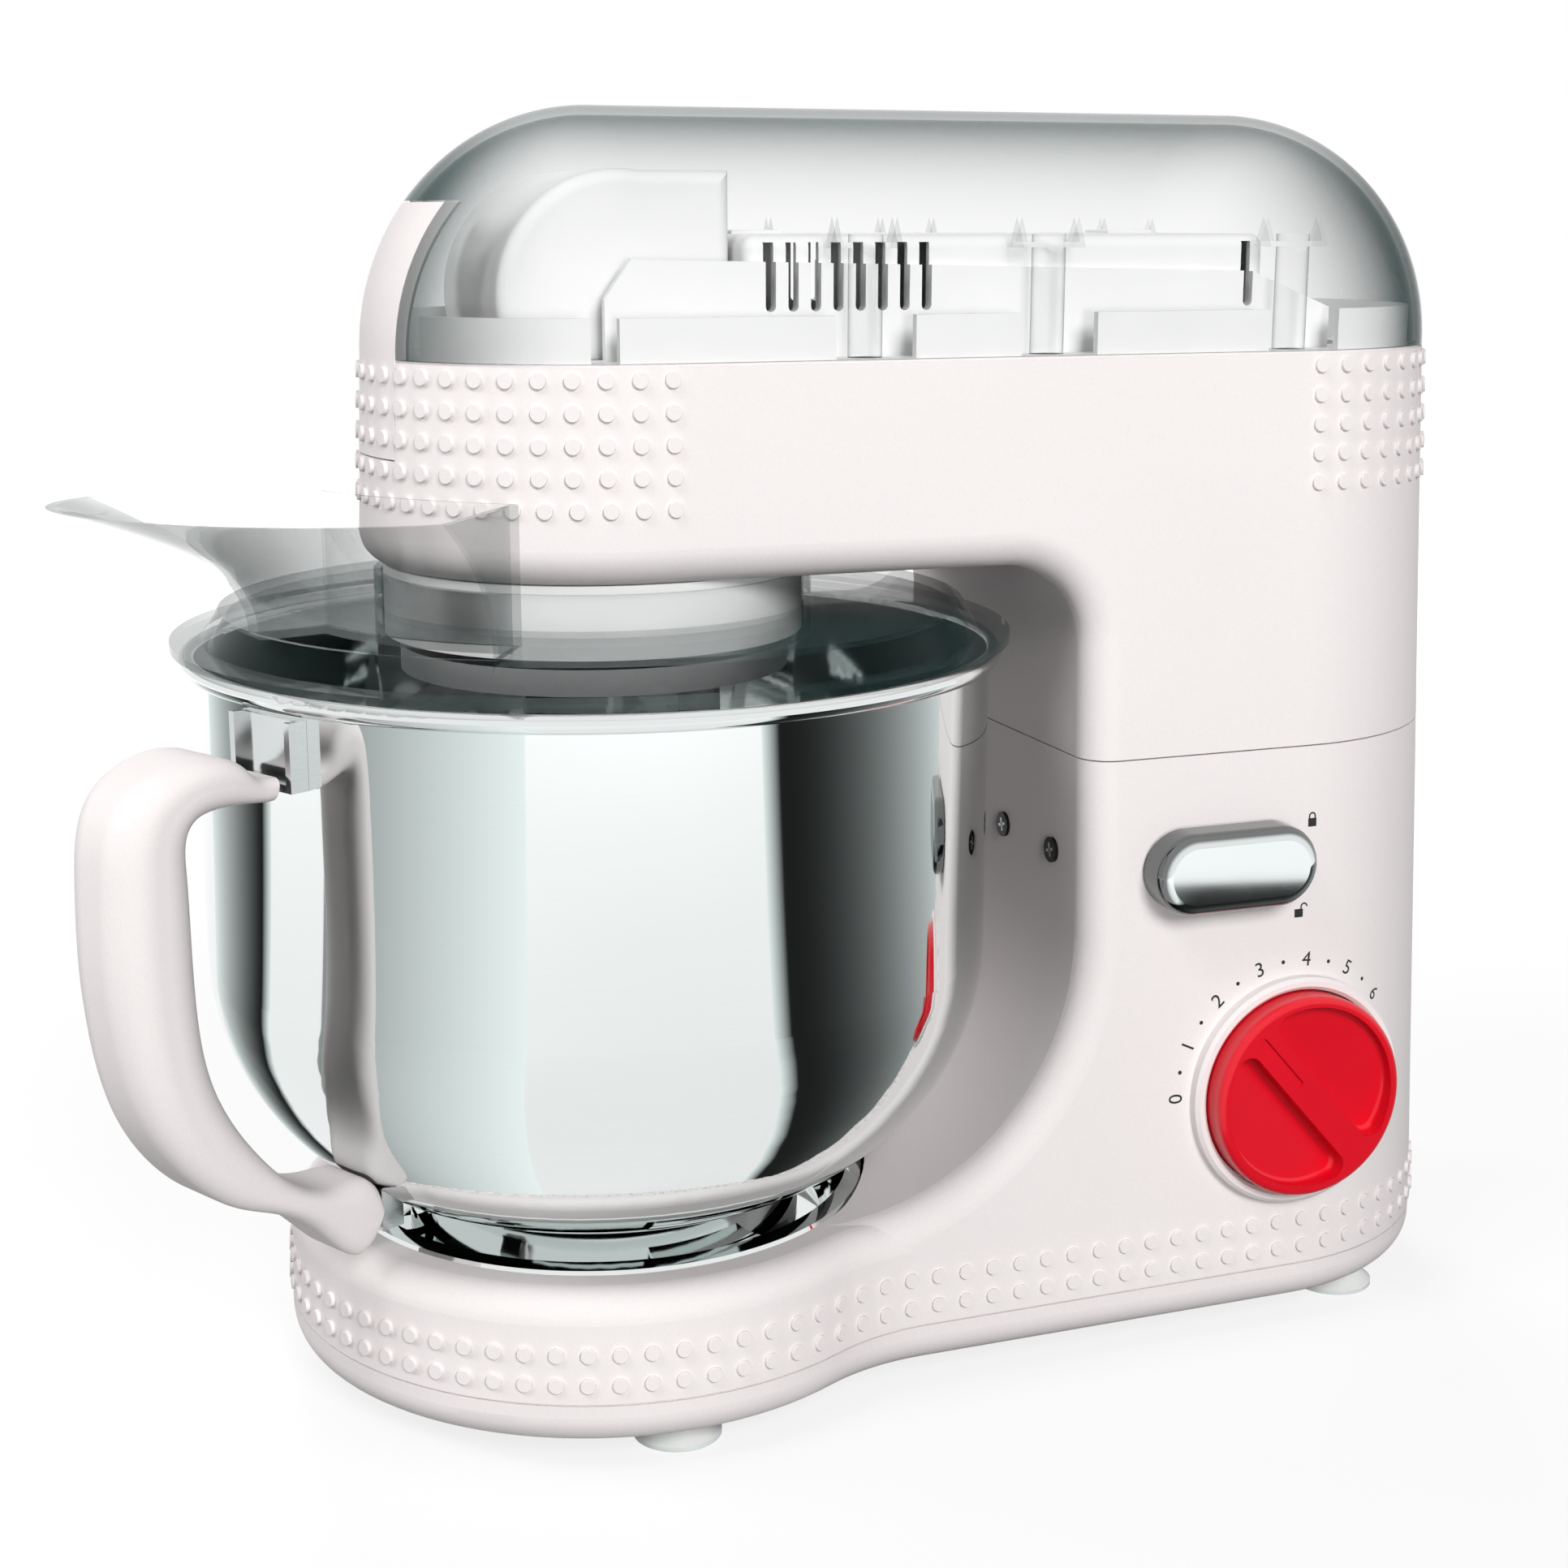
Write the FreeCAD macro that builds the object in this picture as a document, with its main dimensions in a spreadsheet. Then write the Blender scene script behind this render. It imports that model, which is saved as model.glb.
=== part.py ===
"""Tilt-head stand mixer with a clear dome, a steel bowl with a handle and a clear splash guard.

All sizes are millimetres. The pieces are drawn about the axis of the bowl, with Z up, the table
at z = 0, the column towards +X and the controls towards -Y. At the end every piece is moved so
that the origin lies under the middle of the whole machine.
"""
import FreeCAD
import Part
import Sketcher
import math
import os
import re
from types import SimpleNamespace

from FreeCAD import Placement, Rotation, Vector

SIZES = {
    # Housing
    "head_half_width": 61,  # half width of the head at the dome line
    "head_height": 55,  # underside of the head to the dome line
    "dome_rise": 64,  # height of the dome above its line
    "base_half_width": 72,  # half width of the column at the base seam
    "seam_height": 21,  # height of the seam above the bottom plate
    "column_depth": 69,  # front face of the column to the centre of its round back
    "guard_room": 6,  # edge of the splash guard to the front face of the column
    "split_height": 174,  # height of the line between base and head
    "head_room": 11,  # top of the splash guard to the underside of the head
    "base_top": 50,  # height of the base under the bowl
    "base_front_radius": 90,  # radius of the round front of the base
    "waist_radius": 60,  # hollow blend between round front and column
    "sweep_radius": 75,  # hollow sweep from base top to column face
    "arch_radius": 22,  # hollow corner under the head
    "edge_radius": 9,  # rounding of the outer edges
    "base_edge_radius": 8,  # rounding of the top edge of the base front
    "shell_wall": 3,  # wall of the moulded housings
    "parting_gap": 0.4,  # gap at the moving split line
    "foot_neck_radius": 8.4,  # radius of the feet's neck
    "foot_lip": 1.2,  # thickness of the feet's lip
    "foot_height": 8,  # height of the suction feet
    "foot_radius": 12,  # radius of the suction feet
    "foot_front_y": 68,  # front feet, distance from the middle plane
    "foot_back_offset": 29,  # back feet, distance behind the column's centre
    "foot_back_y": 46,  # back feet, distance from the middle plane
    "plate_edge_radius": 9,  # rounding under the bottom plate
    "seam_groove_depth": 0.8,  # depth of the shadow lines at the seams
    "seam_groove_height": 0.6,  # height of the shadow lines at the seams
    "inlet_radius": 8,  # outer radius of the cord inlet
    "inlet_height": 38,  # height of the cord inlet in the back
    # Dome and covers
    "dome_wall": 2.5,  # wall of the clear dome
    "post_radius": 4.5,  # radius of the posts inside the dome
    "lintel_half": 9,  # half length of the lintels over the dome's posts
    "lintel_wall": 1.4,  # thickness of the lintels and gussets
    "lintel_depth": 14,  # depth of the lintels
    "gusset_height": 14,  # height of the gussets on the lintels
    "post_gap": 11,  # half width of the deck wall's gaps at the posts
    "post_inset": 12.5,  # posts, distance in from the side of the head
    "post_height": 29,  # height of the posts
    "post_front_x": 60,  # front pair of posts
    "post_middle_offset": -77,  # middle pair of posts, from the column's centre
    "post_back_offset": -3,  # back pair of posts, from the column's centre
    "rim_block_wall": 2.5,  # thickness of the deck's locating walls
    "rim_block_height": 11,  # height of the locating walls inside the dome
    "cap_half_width": 21.5,  # half width of the front cap
    "cap_drop": 25,  # lower edge of the front cap under the dome line
    "cap_rise": 39,  # upper edge of the front cap over the dome line
    "cap_wall": 3.4,  # wall of the front cap
    "deck_height": 3,  # thickness of the deck under the dome
    "deck_opening": 37,  # half width of the opening in the deck
    "cover_wall": 2,  # wall of the inner covers
    "gear_cover_rise": 47,  # top of the gear cover over the dome line
    "gear_cover_front": -29,  # front of the gear cover
    "gear_cover_half_width": 33,  # half width of the gear cover
    "motor_cover_front": 30,  # front of the motor cover
    "motor_cover_offset": -7,  # back of the motor cover, from the column's centre
    "motor_cover_rise": 31,  # top of the motor cover over the dome line
    "motor_cover_half_width": 41,  # half width of the motor cover
    "cover_edge_radius": 3.5,  # rounding of the covers' upper edges
    "cover_pad_height": 1,  # two low pads on top of the motor cover
    "cover_pad_length": 14,  # length of those pads
    "cover_pad_front_x": 45,  # front pad, distance behind the bowl axis
    "cover_pad_offset": -31,  # back pad, from the column's centre
    "cheek_front": -8,  # front of the side panels beside the covers
    "cheek_offset": 13,  # back of the side panels, from the column's centre
    "cheek_rise": 25,  # height of the side panels in front
    "cheek_fall": 4,  # how far their top falls towards the back
    "cheek_corner": 7,  # slanted corner at their front
    "cheek_tail": 25,  # slanted stretch at their back
    "vent_pitch": 6.2,  # spacing of the vents
    "vent_width": 2.8,  # width of a vent
    "vent_count": 8,  # vents in a row
    "vent_low": 13,  # lower end of the vents over the dome line
    # Bowl
    "bowl_radius": 108.4,  # outer radius of the bowl
    "bowl_stand": 2,  # bottom of the bowl over the top of the base
    "bowl_turn_radius": 70,  # outer radius of the bowl's lower turn
    "bowl_rim_height": 206,  # top of the rolled rim
    "bowl_roll_radius": 2.4,  # radius of the rolled rim
    "bowl_wall": 1.2,  # wall of the bowl
    "bowl_foot_radius": 56,  # outer radius of the bowl's foot ring
    "bowl_foot_wall": 3,  # wall of the foot ring
    "lug_reach": 5,  # reach of the bayonet lugs
    "lug_angle": 30,  # turn that each bayonet lug takes up
    "lug_lift": 1,  # lug's underside over the foot's lower edge
    "tab_angle": 34,  # turn that each tab of the seat takes up
    "tab_height": 1.6,  # thickness of the seat's tabs
    "lug_height": 3,  # height of the bayonet lugs
    "seat_radius": 75,  # outer radius of the bowl seat
    "seat_depth": 14,  # floor of the bowl seat under the top of the base
    "seat_rim_width": 5,  # flat rim of the seat
    "seat_rim_bevel": 0.6,  # bevel at the seat's outer edge
    "seat_slope": 6,  # run of the slope between rim and floor
    "seat_wall": 1.6,  # wall of the bowl seat
    "handle_angle": 28,  # direction of the handle, from the front towards the controls
    "grip_stand": 42.6,  # wall of the bowl to the middle of the upright grip
    "grip_neck": 36,  # upright grip to the end of its upper arm
    "grip_tail": 62,  # upright grip to its lower end
    "grip_depth": 22,  # thickness of the grip
    "grip_width": 26,  # width of the grip
    "grip_drop": 19,  # upper arm of the grip under the bowl's rim
    "grip_lift": 13,  # lower end of the grip over the bowl's bottom
    "bracket_width": 24,  # width of the handle brackets
    "bracket_wall": 2,  # wall of the handle brackets
    # Splash guard
    "guard_overhang": 5.6,  # edge of the splash guard beyond the bowl
    "guard_wall": 2,  # wall of the splash guard
    "guard_rise": 11,  # flat top of the guard over the bowl's rim
    "guard_brim": 10,  # width of the guard's brim
    "guard_lean": 3,  # lean of the step between brim and top
    "guard_lift": 1.2,  # gap between bowl rim and guard
    "collar_height": 9,  # height of the guard's collar
    "collar_play": 0.6,  # gap between guard collar and hub ring
    "chute_angle": 39,  # direction of the chute, from the front towards the controls
    "chute_setback": 34,  # inner wall of the chute, in from the guard's edge
    "chute_foot_setback": 11,  # foot of the chute's front, in from the guard's edge
    "chute_reach": 59,  # lip of the chute beyond the guard's edge
    "chute_half_angle": 22.6,  # half the angle that the chute spans
    "chute_corner_reach": 27,  # corners of the lip beyond the guard's edge
    "chute_height": 34.5,  # height of the chute's inner wall
    "chute_lip_rise": 4,  # rise of the lip over the inner wall
    "chute_wall": 1.8,  # wall of the chute
    # Controls
    "dial_offset": -3.3,  # dial, from the column's centre
    "dial_height": 74.6,  # height of the dial
    "dial_ring_radius": 33.4,  # outer radius of the raised ring
    "dial_ring_height": 4,  # height of the raised ring
    "knob_radius": 29.4,  # radius of the knob
    "knob_lift": 1.2,  # underside of the knob, above the wall
    "knob_height": 9,  # height of the knob
    "knob_rim": 3,  # width of the knob's rim
    "knob_edge_radius": 2,  # rounding of the knob's edge
    "knob_floor": 3,  # floor of the knob beside the bar
    "knob_scoop_rise": 3,  # rise of the scoops' floor towards the rim
    "knob_corner_radius": 4,  # rounded corners of the scoops
    "knob_slot_width": 2.2,  # width of the pointer slot in the bar
    "knob_slot_depth": 0.9,  # depth of the pointer slot
    "knob_slot_start": 6,  # pointer slot, distance from the knob's middle
    "knob_slot_end": 24,  # pointer slot, far end
    "knob_bar_width": 9,  # width of the knob's grip bar
    "dial_shaft_radius": 3,  # radius of the dial shaft
    "lever_offset": -28,  # lever, from the column's centre
    "lever_drop": 31,  # lever under the line between base and head
    "lever_length": 50,  # length of the lever
    "lever_width": 23,  # width of the lever
    "lever_edge_radius": 3.5,  # rounding of the lever's front edge
    "lever_socket_depth": 6,  # depth of the shaft's socket in the lever
    "lever_depth": 10,  # how far the lever stands out
    "lever_shaft_radius": 5,  # radius of the lever shaft
    "hook_reach": 58,  # lever axis to the tip of the hook
    "hook_nose": 7,  # depth of the hook's nose
    "strike_radius": 3,  # radius of the strike pin in the head
    "hook_wall": 5,  # thickness of the hook
    "hook_arm_width": 10,  # width of the hook's arm
    "lever_swing": 25,  # how far the lever turns to either side
    "hinge_offset": 54,  # head hinge, from the column's centre
    "hinge_pin_radius": 3.5,  # radius of the hinge pin
    "hinge_ear_radius": 6,  # radius of the hinge ears
    "hinge_ear_width": 7.6,  # width of a base ear
    "hinge_middle_width": 16,  # width of the head's ear
    "tilt_angle": 36,  # how far the head tilts back
    "running_fit": 0.05,  # clearance of a running shaft
    "press_gap": 0.02,  # clearance of a fixed pin or bush
    "joint_gap": 0.5,  # clearance round moving pieces
    # Drive
    "tooth_module": 1.5,  # module of the gears
    "ring_teeth": 60,  # teeth of the fixed ring gear
    "planet_teeth": 20,  # teeth of the planet pinion
    "main_teeth": 46,  # teeth of the main gear
    "lay_teeth": 14,  # teeth of the layshaft pinion
    "tooth_backlash": 0.14,  # thinning of each tooth at the pitch circle
    "hub_radius": 57,  # outer radius of the hub ring under the head
    "hub_height": 19,  # height of the hub ring under the head
    "ring_gear_radius": 50,  # outer radius of the ring gear
    "ring_gear_height": 10,  # height of the ring gear
    "carrier_radius": 53,  # radius of the planet carrier
    "carrier_height": 7,  # height of the planet carrier
    "carrier_drop": 10,  # lower face of the carrier under the hub ring
    "carrier_boss_wall": 4,  # wall of the carrier round the planet's bush
    "carrier_boss_lift": 3,  # how far hub and boss stand out of the carrier
    "planet_bush_wall": 2.5,  # wall of the planet's bush
    "main_shaft_radius": 7,  # radius of the main shaft
    "main_gear_height": 11,  # height of the main gear
    "planet_shaft_radius": 6,  # radius of the beater shaft
    "cross_pin_radius": 2,  # radius of the beater shaft's cross pin
    "lay_shaft_radius": 5,  # radius of the layshaft
    "bush_wall": 4,  # wall of the shaft bushes
    "gear_plate_front": 34,  # gear plate, reach in front of the main shaft
    "gear_plate_back": 96,  # gear plate, reach behind the main shaft
    "gear_plate_half_width": 46,  # half width of the gear plate
    "gear_plate_corner": 8,  # rounded corners of the gear plate
    "gear_plate_height": 5,  # thickness of the gear plate
    "bridge_bar_front": 12,  # front of the bridge's cross bar
    "bridge_bar_width": 24,  # width of the bridge's cross bar
    "bridge_beam_half": 14,  # half width of the bridge's beam and its overhang
    "pillar_radius": 5,  # radius of the bridge's pillars
    "pillar_y": 40,  # pillars, distance from the middle plane
    "bridge_height": 4,  # thickness of the bridge over the gears
    "pulley_lift": 4,  # gap between the bridge and the pulleys
    "gear_room": 20,  # room between gear plate and bridge
    "pulley_radius": 38,  # radius of the large pulley
    "motor_pulley_radius": 8,  # radius of the motor pulley
    "pulley_height": 12,  # height of the pulleys
    "belt_thickness": 2.4,  # thickness of the belt
    "belt_gap": 0.3,  # running gap between belt and pulleys
    "motor_offset": -29,  # motor, from the column's centre
    "motor_shaft_radius": 4,  # radius of the motor shaft
    "core_radius": 22,  # radius of the armature core
    "brush_room": 22,  # room for brushes and commutator under the stator
    "coil_clearance": 1.5,  # gap between coils and upper bracket
    "fan_clearance": 1,  # gap between upper bracket and fan
    "fan_gap": 2.1,  # gap between fan and motor pulley
    "air_gap": 0.6,  # gap between armature and stator
    "stator_side": 62,  # side of the stator stack
    "slot_count": 12,  # winding slots in the armature core
    "slot_depth": 6,  # depth of a winding slot
    "slot_width": 2.4,  # width of a winding slot
    "coil_height": 5,  # height of the field coils beyond the stator
    "coil_wall": 6,  # thickness of the field coils
    "mount_radius": 6,  # radius of the motor's rubber mounts
    "mount_height": 6,  # height of the motor's rubber mounts
    "mount_spread": 18,  # rubber mounts, distance from the motor's middle planes
    "bracket_radius": 36,  # radius of the motor's end brackets
    "bracket_height": 4,  # thickness of the end brackets
    "bolt_radius": 4,  # radius of the four posts between brackets and stator
    "commutator_radius": 11,  # radius of the commutator
    "commutator_height": 11,  # height of the commutator
    "brush_end": 28,  # brush holders, outer end from the motor's axis
    "brush_half": 4,  # half width of a brush holder
    "brush_height": 7,  # height of a brush holder
    "brush_lift": 6,  # brush holders over the lower bracket
    "brush_post_half": 3,  # half width of the posts under the brush holders
    "brush_post_inner": 14,  # those posts, inner side from the motor's axis
    "brush_post_outer": 20,  # those posts, outer side
    "blade_count": 8,  # blades of the cooling fan
    "blade_height": 5,  # height of the fan's blades
    "blade_wall": 1.6,  # thickness of the fan's blades
    "fan_hub_radius": 9,  # radius of the fan's hub
    "fan_radius": 27,  # radius of the cooling fan
    "beater_clearance": 8,  # lowest point of the beater over the bowl's bottom
    "beater_room": 53.4,  # half width of the beater less than the bowl's radius
    "beater_drop": 62,  # top of the beater's frame under the head
    "beater_bar": 9,  # width of the beater's bars
    "beater_thickness": 8,  # thickness of the beater
    # Place of the bowl axis over the origin, set when all pieces are there
    "bowl_axis_x": 0,
    "bowl_axis_y": 0,
}

FOLLOWING = {
    # Round the bowl axis
    "guard_radius": "bowl_radius + guard_overhang",
    "grip_reach": "bowl_radius + grip_stand",
    "beater_half_width": "bowl_radius - beater_room",
    "chute_inner_radius": "guard_radius - chute_setback",
    "chute_foot_radius": "guard_radius - chute_foot_setback",
    "chute_lip_radius": "guard_radius + chute_reach",
    "chute_corner_radius": "guard_radius + chute_corner_reach",
    # Distances behind the bowl axis
    "column_face": "guard_radius + guard_room",
    "column_distance": "column_face + column_depth",
    "foot_back_x": "column_distance + foot_back_offset",
    "post_middle_x": "column_distance + post_middle_offset",
    "post_back_x": "column_distance + post_back_offset",
    "motor_cover_back": "column_distance + motor_cover_offset",
    "cover_pad_back_x": "column_distance + cover_pad_offset",
    "cheek_back": "column_distance + cheek_offset",
    "dial_x": "column_distance + dial_offset",
    "lever_x": "column_distance + lever_offset",
    "hinge_x": "column_distance + hinge_offset",
    "motor_x": "column_distance + motor_offset",
    # Heights
    "seat_floor": "base_top - seat_depth",
    "bowl_bottom": "base_top + bowl_stand",
    "beater_bottom": "bowl_bottom + beater_clearance",
    "grip_low": "bowl_bottom + grip_lift",
    "grip_top": "bowl_rim_height - grip_drop",
    "lever_height": "split_height - lever_drop",
    "guard_top": "bowl_rim_height + guard_rise",
    "head_underside": "guard_top + head_room",
    "hub_bottom": "head_underside - hub_height",
    "beater_top": "head_underside - beater_drop",
    "dome_line_height": "head_underside + head_height",
    "cap_bottom": "dome_line_height - cap_drop",
    "cap_top": "dome_line_height + cap_rise",
    "gear_cover_top": "dome_line_height + gear_cover_rise",
    "motor_cover_top": "dome_line_height + motor_cover_rise",
    # Levels of the drive, from the head's floor up
    "head_floor": "head_underside + shell_wall",
    "plate_top": "head_floor + gear_plate_height",
    "bridge_low": "plate_top + gear_room",
    "bridge_top": "bridge_low + bridge_height",
    "pulley_low": "bridge_top + pulley_lift",
    "shaft_top": "pulley_low + pulley_height + 2",
    # Levels of the motor, from its floor up and from the pulley down
    "motor_floor": "split_height + parting_gap + shell_wall",
    "mount_top": "motor_floor + mount_height",
    "bracket_top": "mount_top + bracket_height",
    "brush_low": "bracket_top + brush_lift",
    "stator_low": "bracket_top + brush_room",
    "fan_low": "pulley_low - fan_gap - blade_height",
    "upper_bracket_low": "fan_low - fan_clearance - bracket_height",
    "stator_top": "upper_bracket_low - coil_clearance - coil_height",
    "core_height": "stator_top - stator_low",
    "coil_inner": "core_radius + air_gap + 1",
    "coil_outer": "coil_inner + coil_wall",
    "bolt_place": "(coil_outer + bolt_radius + 3 * joint_gap) / sqrt(2)",
    # Places of the gears
    "planet_place": "tooth_module * (ring_teeth - planet_teeth) / 2",
    "lay_place": "tooth_module * (main_teeth + lay_teeth) / 2",
    "ring_low": "hub_bottom + 3",
    "pin_height": "beater_top + 10",
    "carrier_low": "hub_bottom - carrier_drop",
    "carrier_top": "carrier_low + carrier_height",
    "planet_bush_radius": "planet_shaft_radius + planet_bush_wall",
}

DOC = FreeCAD.newDocument("stand_mixer")
SHEET = DOC.addObject("Spreadsheet::Sheet", "dims")
PIECES = []
UP = Vector(0, 0, 1)
ALONG = Vector(1, 0, 0)
ACROSS = Vector(0, 1, 0)
FULL_TURN = 360
TINY = 1e-6
NEAR = 1e-3


def fill_sheet():
    """Write the driving sizes into the sheet, and the formulas of those that follow from them."""
    cells = {name: str(value) for name, value in SIZES.items()}
    cells.update({name: f"={text}" for name, text in FOLLOWING.items()})
    for row, (name, cell) in enumerate(cells.items(), start=1):
        SHEET.set(f"A{row}", name.replace("_", " "))
        SHEET.setAlias(f"B{row}", name)
        SHEET.set(f"B{row}", cell)
    DOC.recompute()


fill_sheet()
NAMES = {*SIZES, *FOLLOWING}
S = SimpleNamespace(**{name: float(SHEET.get(name)) for name in NAMES})


def formula(text):
    """Turn the plain names in a formula into references to the sheet."""
    return re.sub(r"[a-z][a-z_0-9]*", lambda word: f"dims.{word[0]}" if word[0] in NAMES else word[0], text)


def number(text):
    """The value of a formula of plain names, worked out by the sheet."""
    return float(SHEET.evalExpression(formula(text)))


def bind(piece, prop, text):
    piece.setExpression(prop, formula(text))


def place(piece, x="0", y="0", z="0", rotation=None):
    """Seat a finished piece: its own place plus the bowl axis over the origin."""
    if rotation:
        piece.Placement = Placement(Vector(0, 0, 0), rotation)
    bind(piece, "Placement.Base.x", f"bowl_axis_x + {x}")
    bind(piece, "Placement.Base.y", f"bowl_axis_y + {y}")
    bind(piece, "Placement.Base.z", z)
    PIECES.append(piece)
    return piece


def formed(label, shape, **where):
    """A piece whose form comes from curves, lofts and cuts."""
    piece = DOC.addObject("Part::Feature", label)
    piece.Label = label
    piece.Shape = shape
    return place(piece, **where)


def drum(name, radius, bottom, top, x="0", y="0"):
    """A cylinder along Z, bound to formulas of the sheet."""
    solid = DOC.addObject("Part::Cylinder", name)
    bind(solid, "Radius", radius)
    bind(solid, "Height", f"({top}) - ({bottom})")
    for axis, text in zip("xyz", (x, y, bottom)):
        bind(solid, f"Placement.Base.{axis}", text)
    return solid


def cross_drum(name, radius, low, high, x, z):
    """A cylinder across the machine, bound to formulas of the sheet."""
    solid = drum(name, radius, low, high)
    solid.Placement = Placement(Vector(0, 0, 0), Rotation(ALONG, -90))
    for axis, text in zip("xyz", (x, low, z)):
        bind(solid, f"Placement.Base.{axis}", text)
    return solid


def slab(name, low, high):
    """A block between two corners, bound to formulas of the sheet."""
    solid = DOC.addObject("Part::Box", name)
    for prop, axis, start, end in zip(("Length", "Width", "Height"), "xyz", low, high):
        bind(solid, prop, f"({end}) - ({start})")
        bind(solid, f"Placement.Base.{axis}", start)
    return solid


def rod(label, radius, bottom, top, x="0"):
    """A plain round shaft along Z."""
    return place(drum(label, radius, bottom, top), x=x, z=bottom)


def axle(label, radius, low, high, x, z):
    """A plain round pin across the machine."""
    return place(cross_drum(label, radius, low, high, x, z), x=x, y=low, z=z)


def summed(name, solids):
    """One solid as it is, or several fused into one."""
    if len(solids) == 1:
        return solids[0]
    whole = DOC.addObject("Part::MultiFuse", name)
    whole.Shapes = solids
    whole.Refine = True
    return whole


def cut_solid(name, solids, holes):
    """The sum of some solids less some holes."""
    solid = DOC.addObject("Part::Cut", name)
    solid.Base = summed(f"{name}_whole", solids)
    solid.Tool = summed(f"{name}_gaps", holes)
    return solid


def cut_from(label, solids, holes, **where):
    """A piece that is the sum of some solids less some holes."""
    return place(cut_solid(label, solids, holes), **where)


def grouped(label, solids, **where):
    """A piece that is a group of like solids."""
    piece = DOC.addObject("Part::Compound", label)
    piece.Links = solids
    return place(piece, **where)


def new_body(label):
    piece = DOC.addObject("PartDesign::Body", label)
    piece.Label = label
    return piece


def sketch_on(body, role, name):
    drawing = body.newObject("Sketcher::SketchObject", name)
    plane = next(feature for feature in body.Origin.OriginFeatures if feature.Role == role)
    drawing.AttachmentSupport = [(plane, "")]
    drawing.MapMode = "FlatFace"
    return drawing


def add_arc(drawing, start, end, centre):
    """Add an arc of up to half a circle about a centre and tell which of its ends lies at the start."""
    first = math.atan2(start.y - centre.y, start.x - centre.x)
    last = math.atan2(end.y - centre.y, end.x - centre.x)
    sweep = (last - first) % (2 * math.pi)
    circle = Part.Circle(centre, UP, start.distanceToPoint(centre))
    if sweep < math.pi + TINY:
        drawing.addGeometry(Part.ArcOfCircle(circle, first, first + sweep), False)
        return 1, 2
    drawing.addGeometry(Part.ArcOfCircle(circle, last, last + 2 * math.pi - sweep), False)
    return 2, 1


def hold(drawing, kind, text, *points):
    """A constraint of the drawing whose value is a formula of the sheet."""
    index = drawing.addConstraint(Sketcher.Constraint(kind, *points, number(text)))
    drawing.setExpression(f"Constraints[{index}]", formula(text))


def draw_outline(drawing, corners):
    """A closed outline of corners tied to the sheet: x and y, with the centre's too where an arc starts."""
    points = [Vector(number(corner[0]), number(corner[1]), 0) for corner in corners]
    count = len(points)
    ends = []
    for index, corner in enumerate(corners):
        following = points[(index + 1) % count]
        if len(corner) == 2:
            drawing.addGeometry(Part.LineSegment(points[index], following), False)
            ends.append((1, 2))
        else:
            centre = Vector(number(corner[2]), number(corner[3]), 0)
            ends.append(add_arc(drawing, points[index], following, centre))
    for index in range(count):
        after = (index + 1) % count
        meeting = (index, ends[index][1], after, ends[after][0])
        drawing.addConstraint(Sketcher.Constraint("Coincident", *meeting))
    for index, corner in enumerate(corners):
        hold(drawing, "DistanceX", corner[0], -1, 1, index, ends[index][0])
        hold(drawing, "DistanceY", corner[1], -1, 1, index, ends[index][0])
        if len(corner) > 2:
            chord = points[(index + 1) % count] - points[index]
            level = abs(chord.x) > abs(chord.y)
            hold(drawing, "DistanceY" if level else "DistanceX", corner[3 if level else 2], -1, 1, index, 3)


def turn_drawing(body, drawing, name):
    """Turn a drawing on the XZ plane about Z and add it to its body."""
    turn = body.newObject("PartDesign::Revolution", name)
    turn.Profile = drawing
    turn.ReferenceAxis = (drawing, ["V_Axis"])
    turn.Angle = FULL_TURN
    drawing.Visibility = False


def turned_body(label, corners):
    """A body turned about Z from an outline of (radius, height) corners."""
    body = new_body(label)
    drawing = sketch_on(body, "XZ_Plane", f"{label}_outline")
    draw_outline(drawing, corners)
    turn_drawing(body, drawing, f"{label}_turn")
    return body


def turned(label, corners, **where):
    return place(turned_body(label, corners), **where)


def bush_outline(inner, outer, bottom, top):
    """The section of a plain bush."""
    return [(inner, bottom), (outer, bottom), (outer, top), (inner, top)]


def bush(name, inner, outer, bottom, top, x="0"):
    """A plain turned bush that is part of a group."""
    body = turned_body(name, bush_outline(inner, outer, bottom, top))
    bind(body, "Placement.Base.x", x)
    return body


def padded_body(label, corners, height):
    """A body raised along Z from an outline of (x, y) corners."""
    body = new_body(label)
    drawing = sketch_on(body, "XY_Plane", f"{label}_outline")
    draw_outline(drawing, corners)
    pad = body.newObject("PartDesign::Pad", f"{label}_pad")
    pad.Profile = drawing
    bind(pad, "Length", height)
    drawing.Visibility = False
    return body


def round_edges(body, radius, test):
    """Round those edges of a body that pass a test."""
    DOC.recompute()
    last = body.Tip
    chosen = [f"Edge{place}" for place, edge in enumerate(last.Shape.Edges, start=1) if test(edge)]
    rounding = body.newObject("PartDesign::Fillet", f"{body.Label}_rounding")
    rounding.Base = (last, chosen)
    bind(rounding, "Radius", radius)


def is_upright(edge):
    return edge.BoundBox.ZLength > SLIVER and edge.BoundBox.XLength + edge.BoundBox.YLength < NEAR


def draw_circle(drawing, index, x, y, radius):
    """A circle tied to the sheet."""
    drawing.addGeometry(Part.Circle(Vector(number(x), number(y), 0), UP, number(radius)), False)
    hold(drawing, "DistanceX", x, -1, 1, index, 3)
    hold(drawing, "DistanceY", y, -1, 1, index, 3)
    hold(drawing, "Radius", radius, index)


def cut_through(body, drawing, name):
    """Cut a drawing on the XY plane right through a body, both ways."""
    pocket = body.newObject("PartDesign::Pocket", name)
    pocket.Profile = drawing
    pocket.Type = "ThroughAll"
    pocket.Midplane = True
    drawing.Visibility = False
    return pocket


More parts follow.
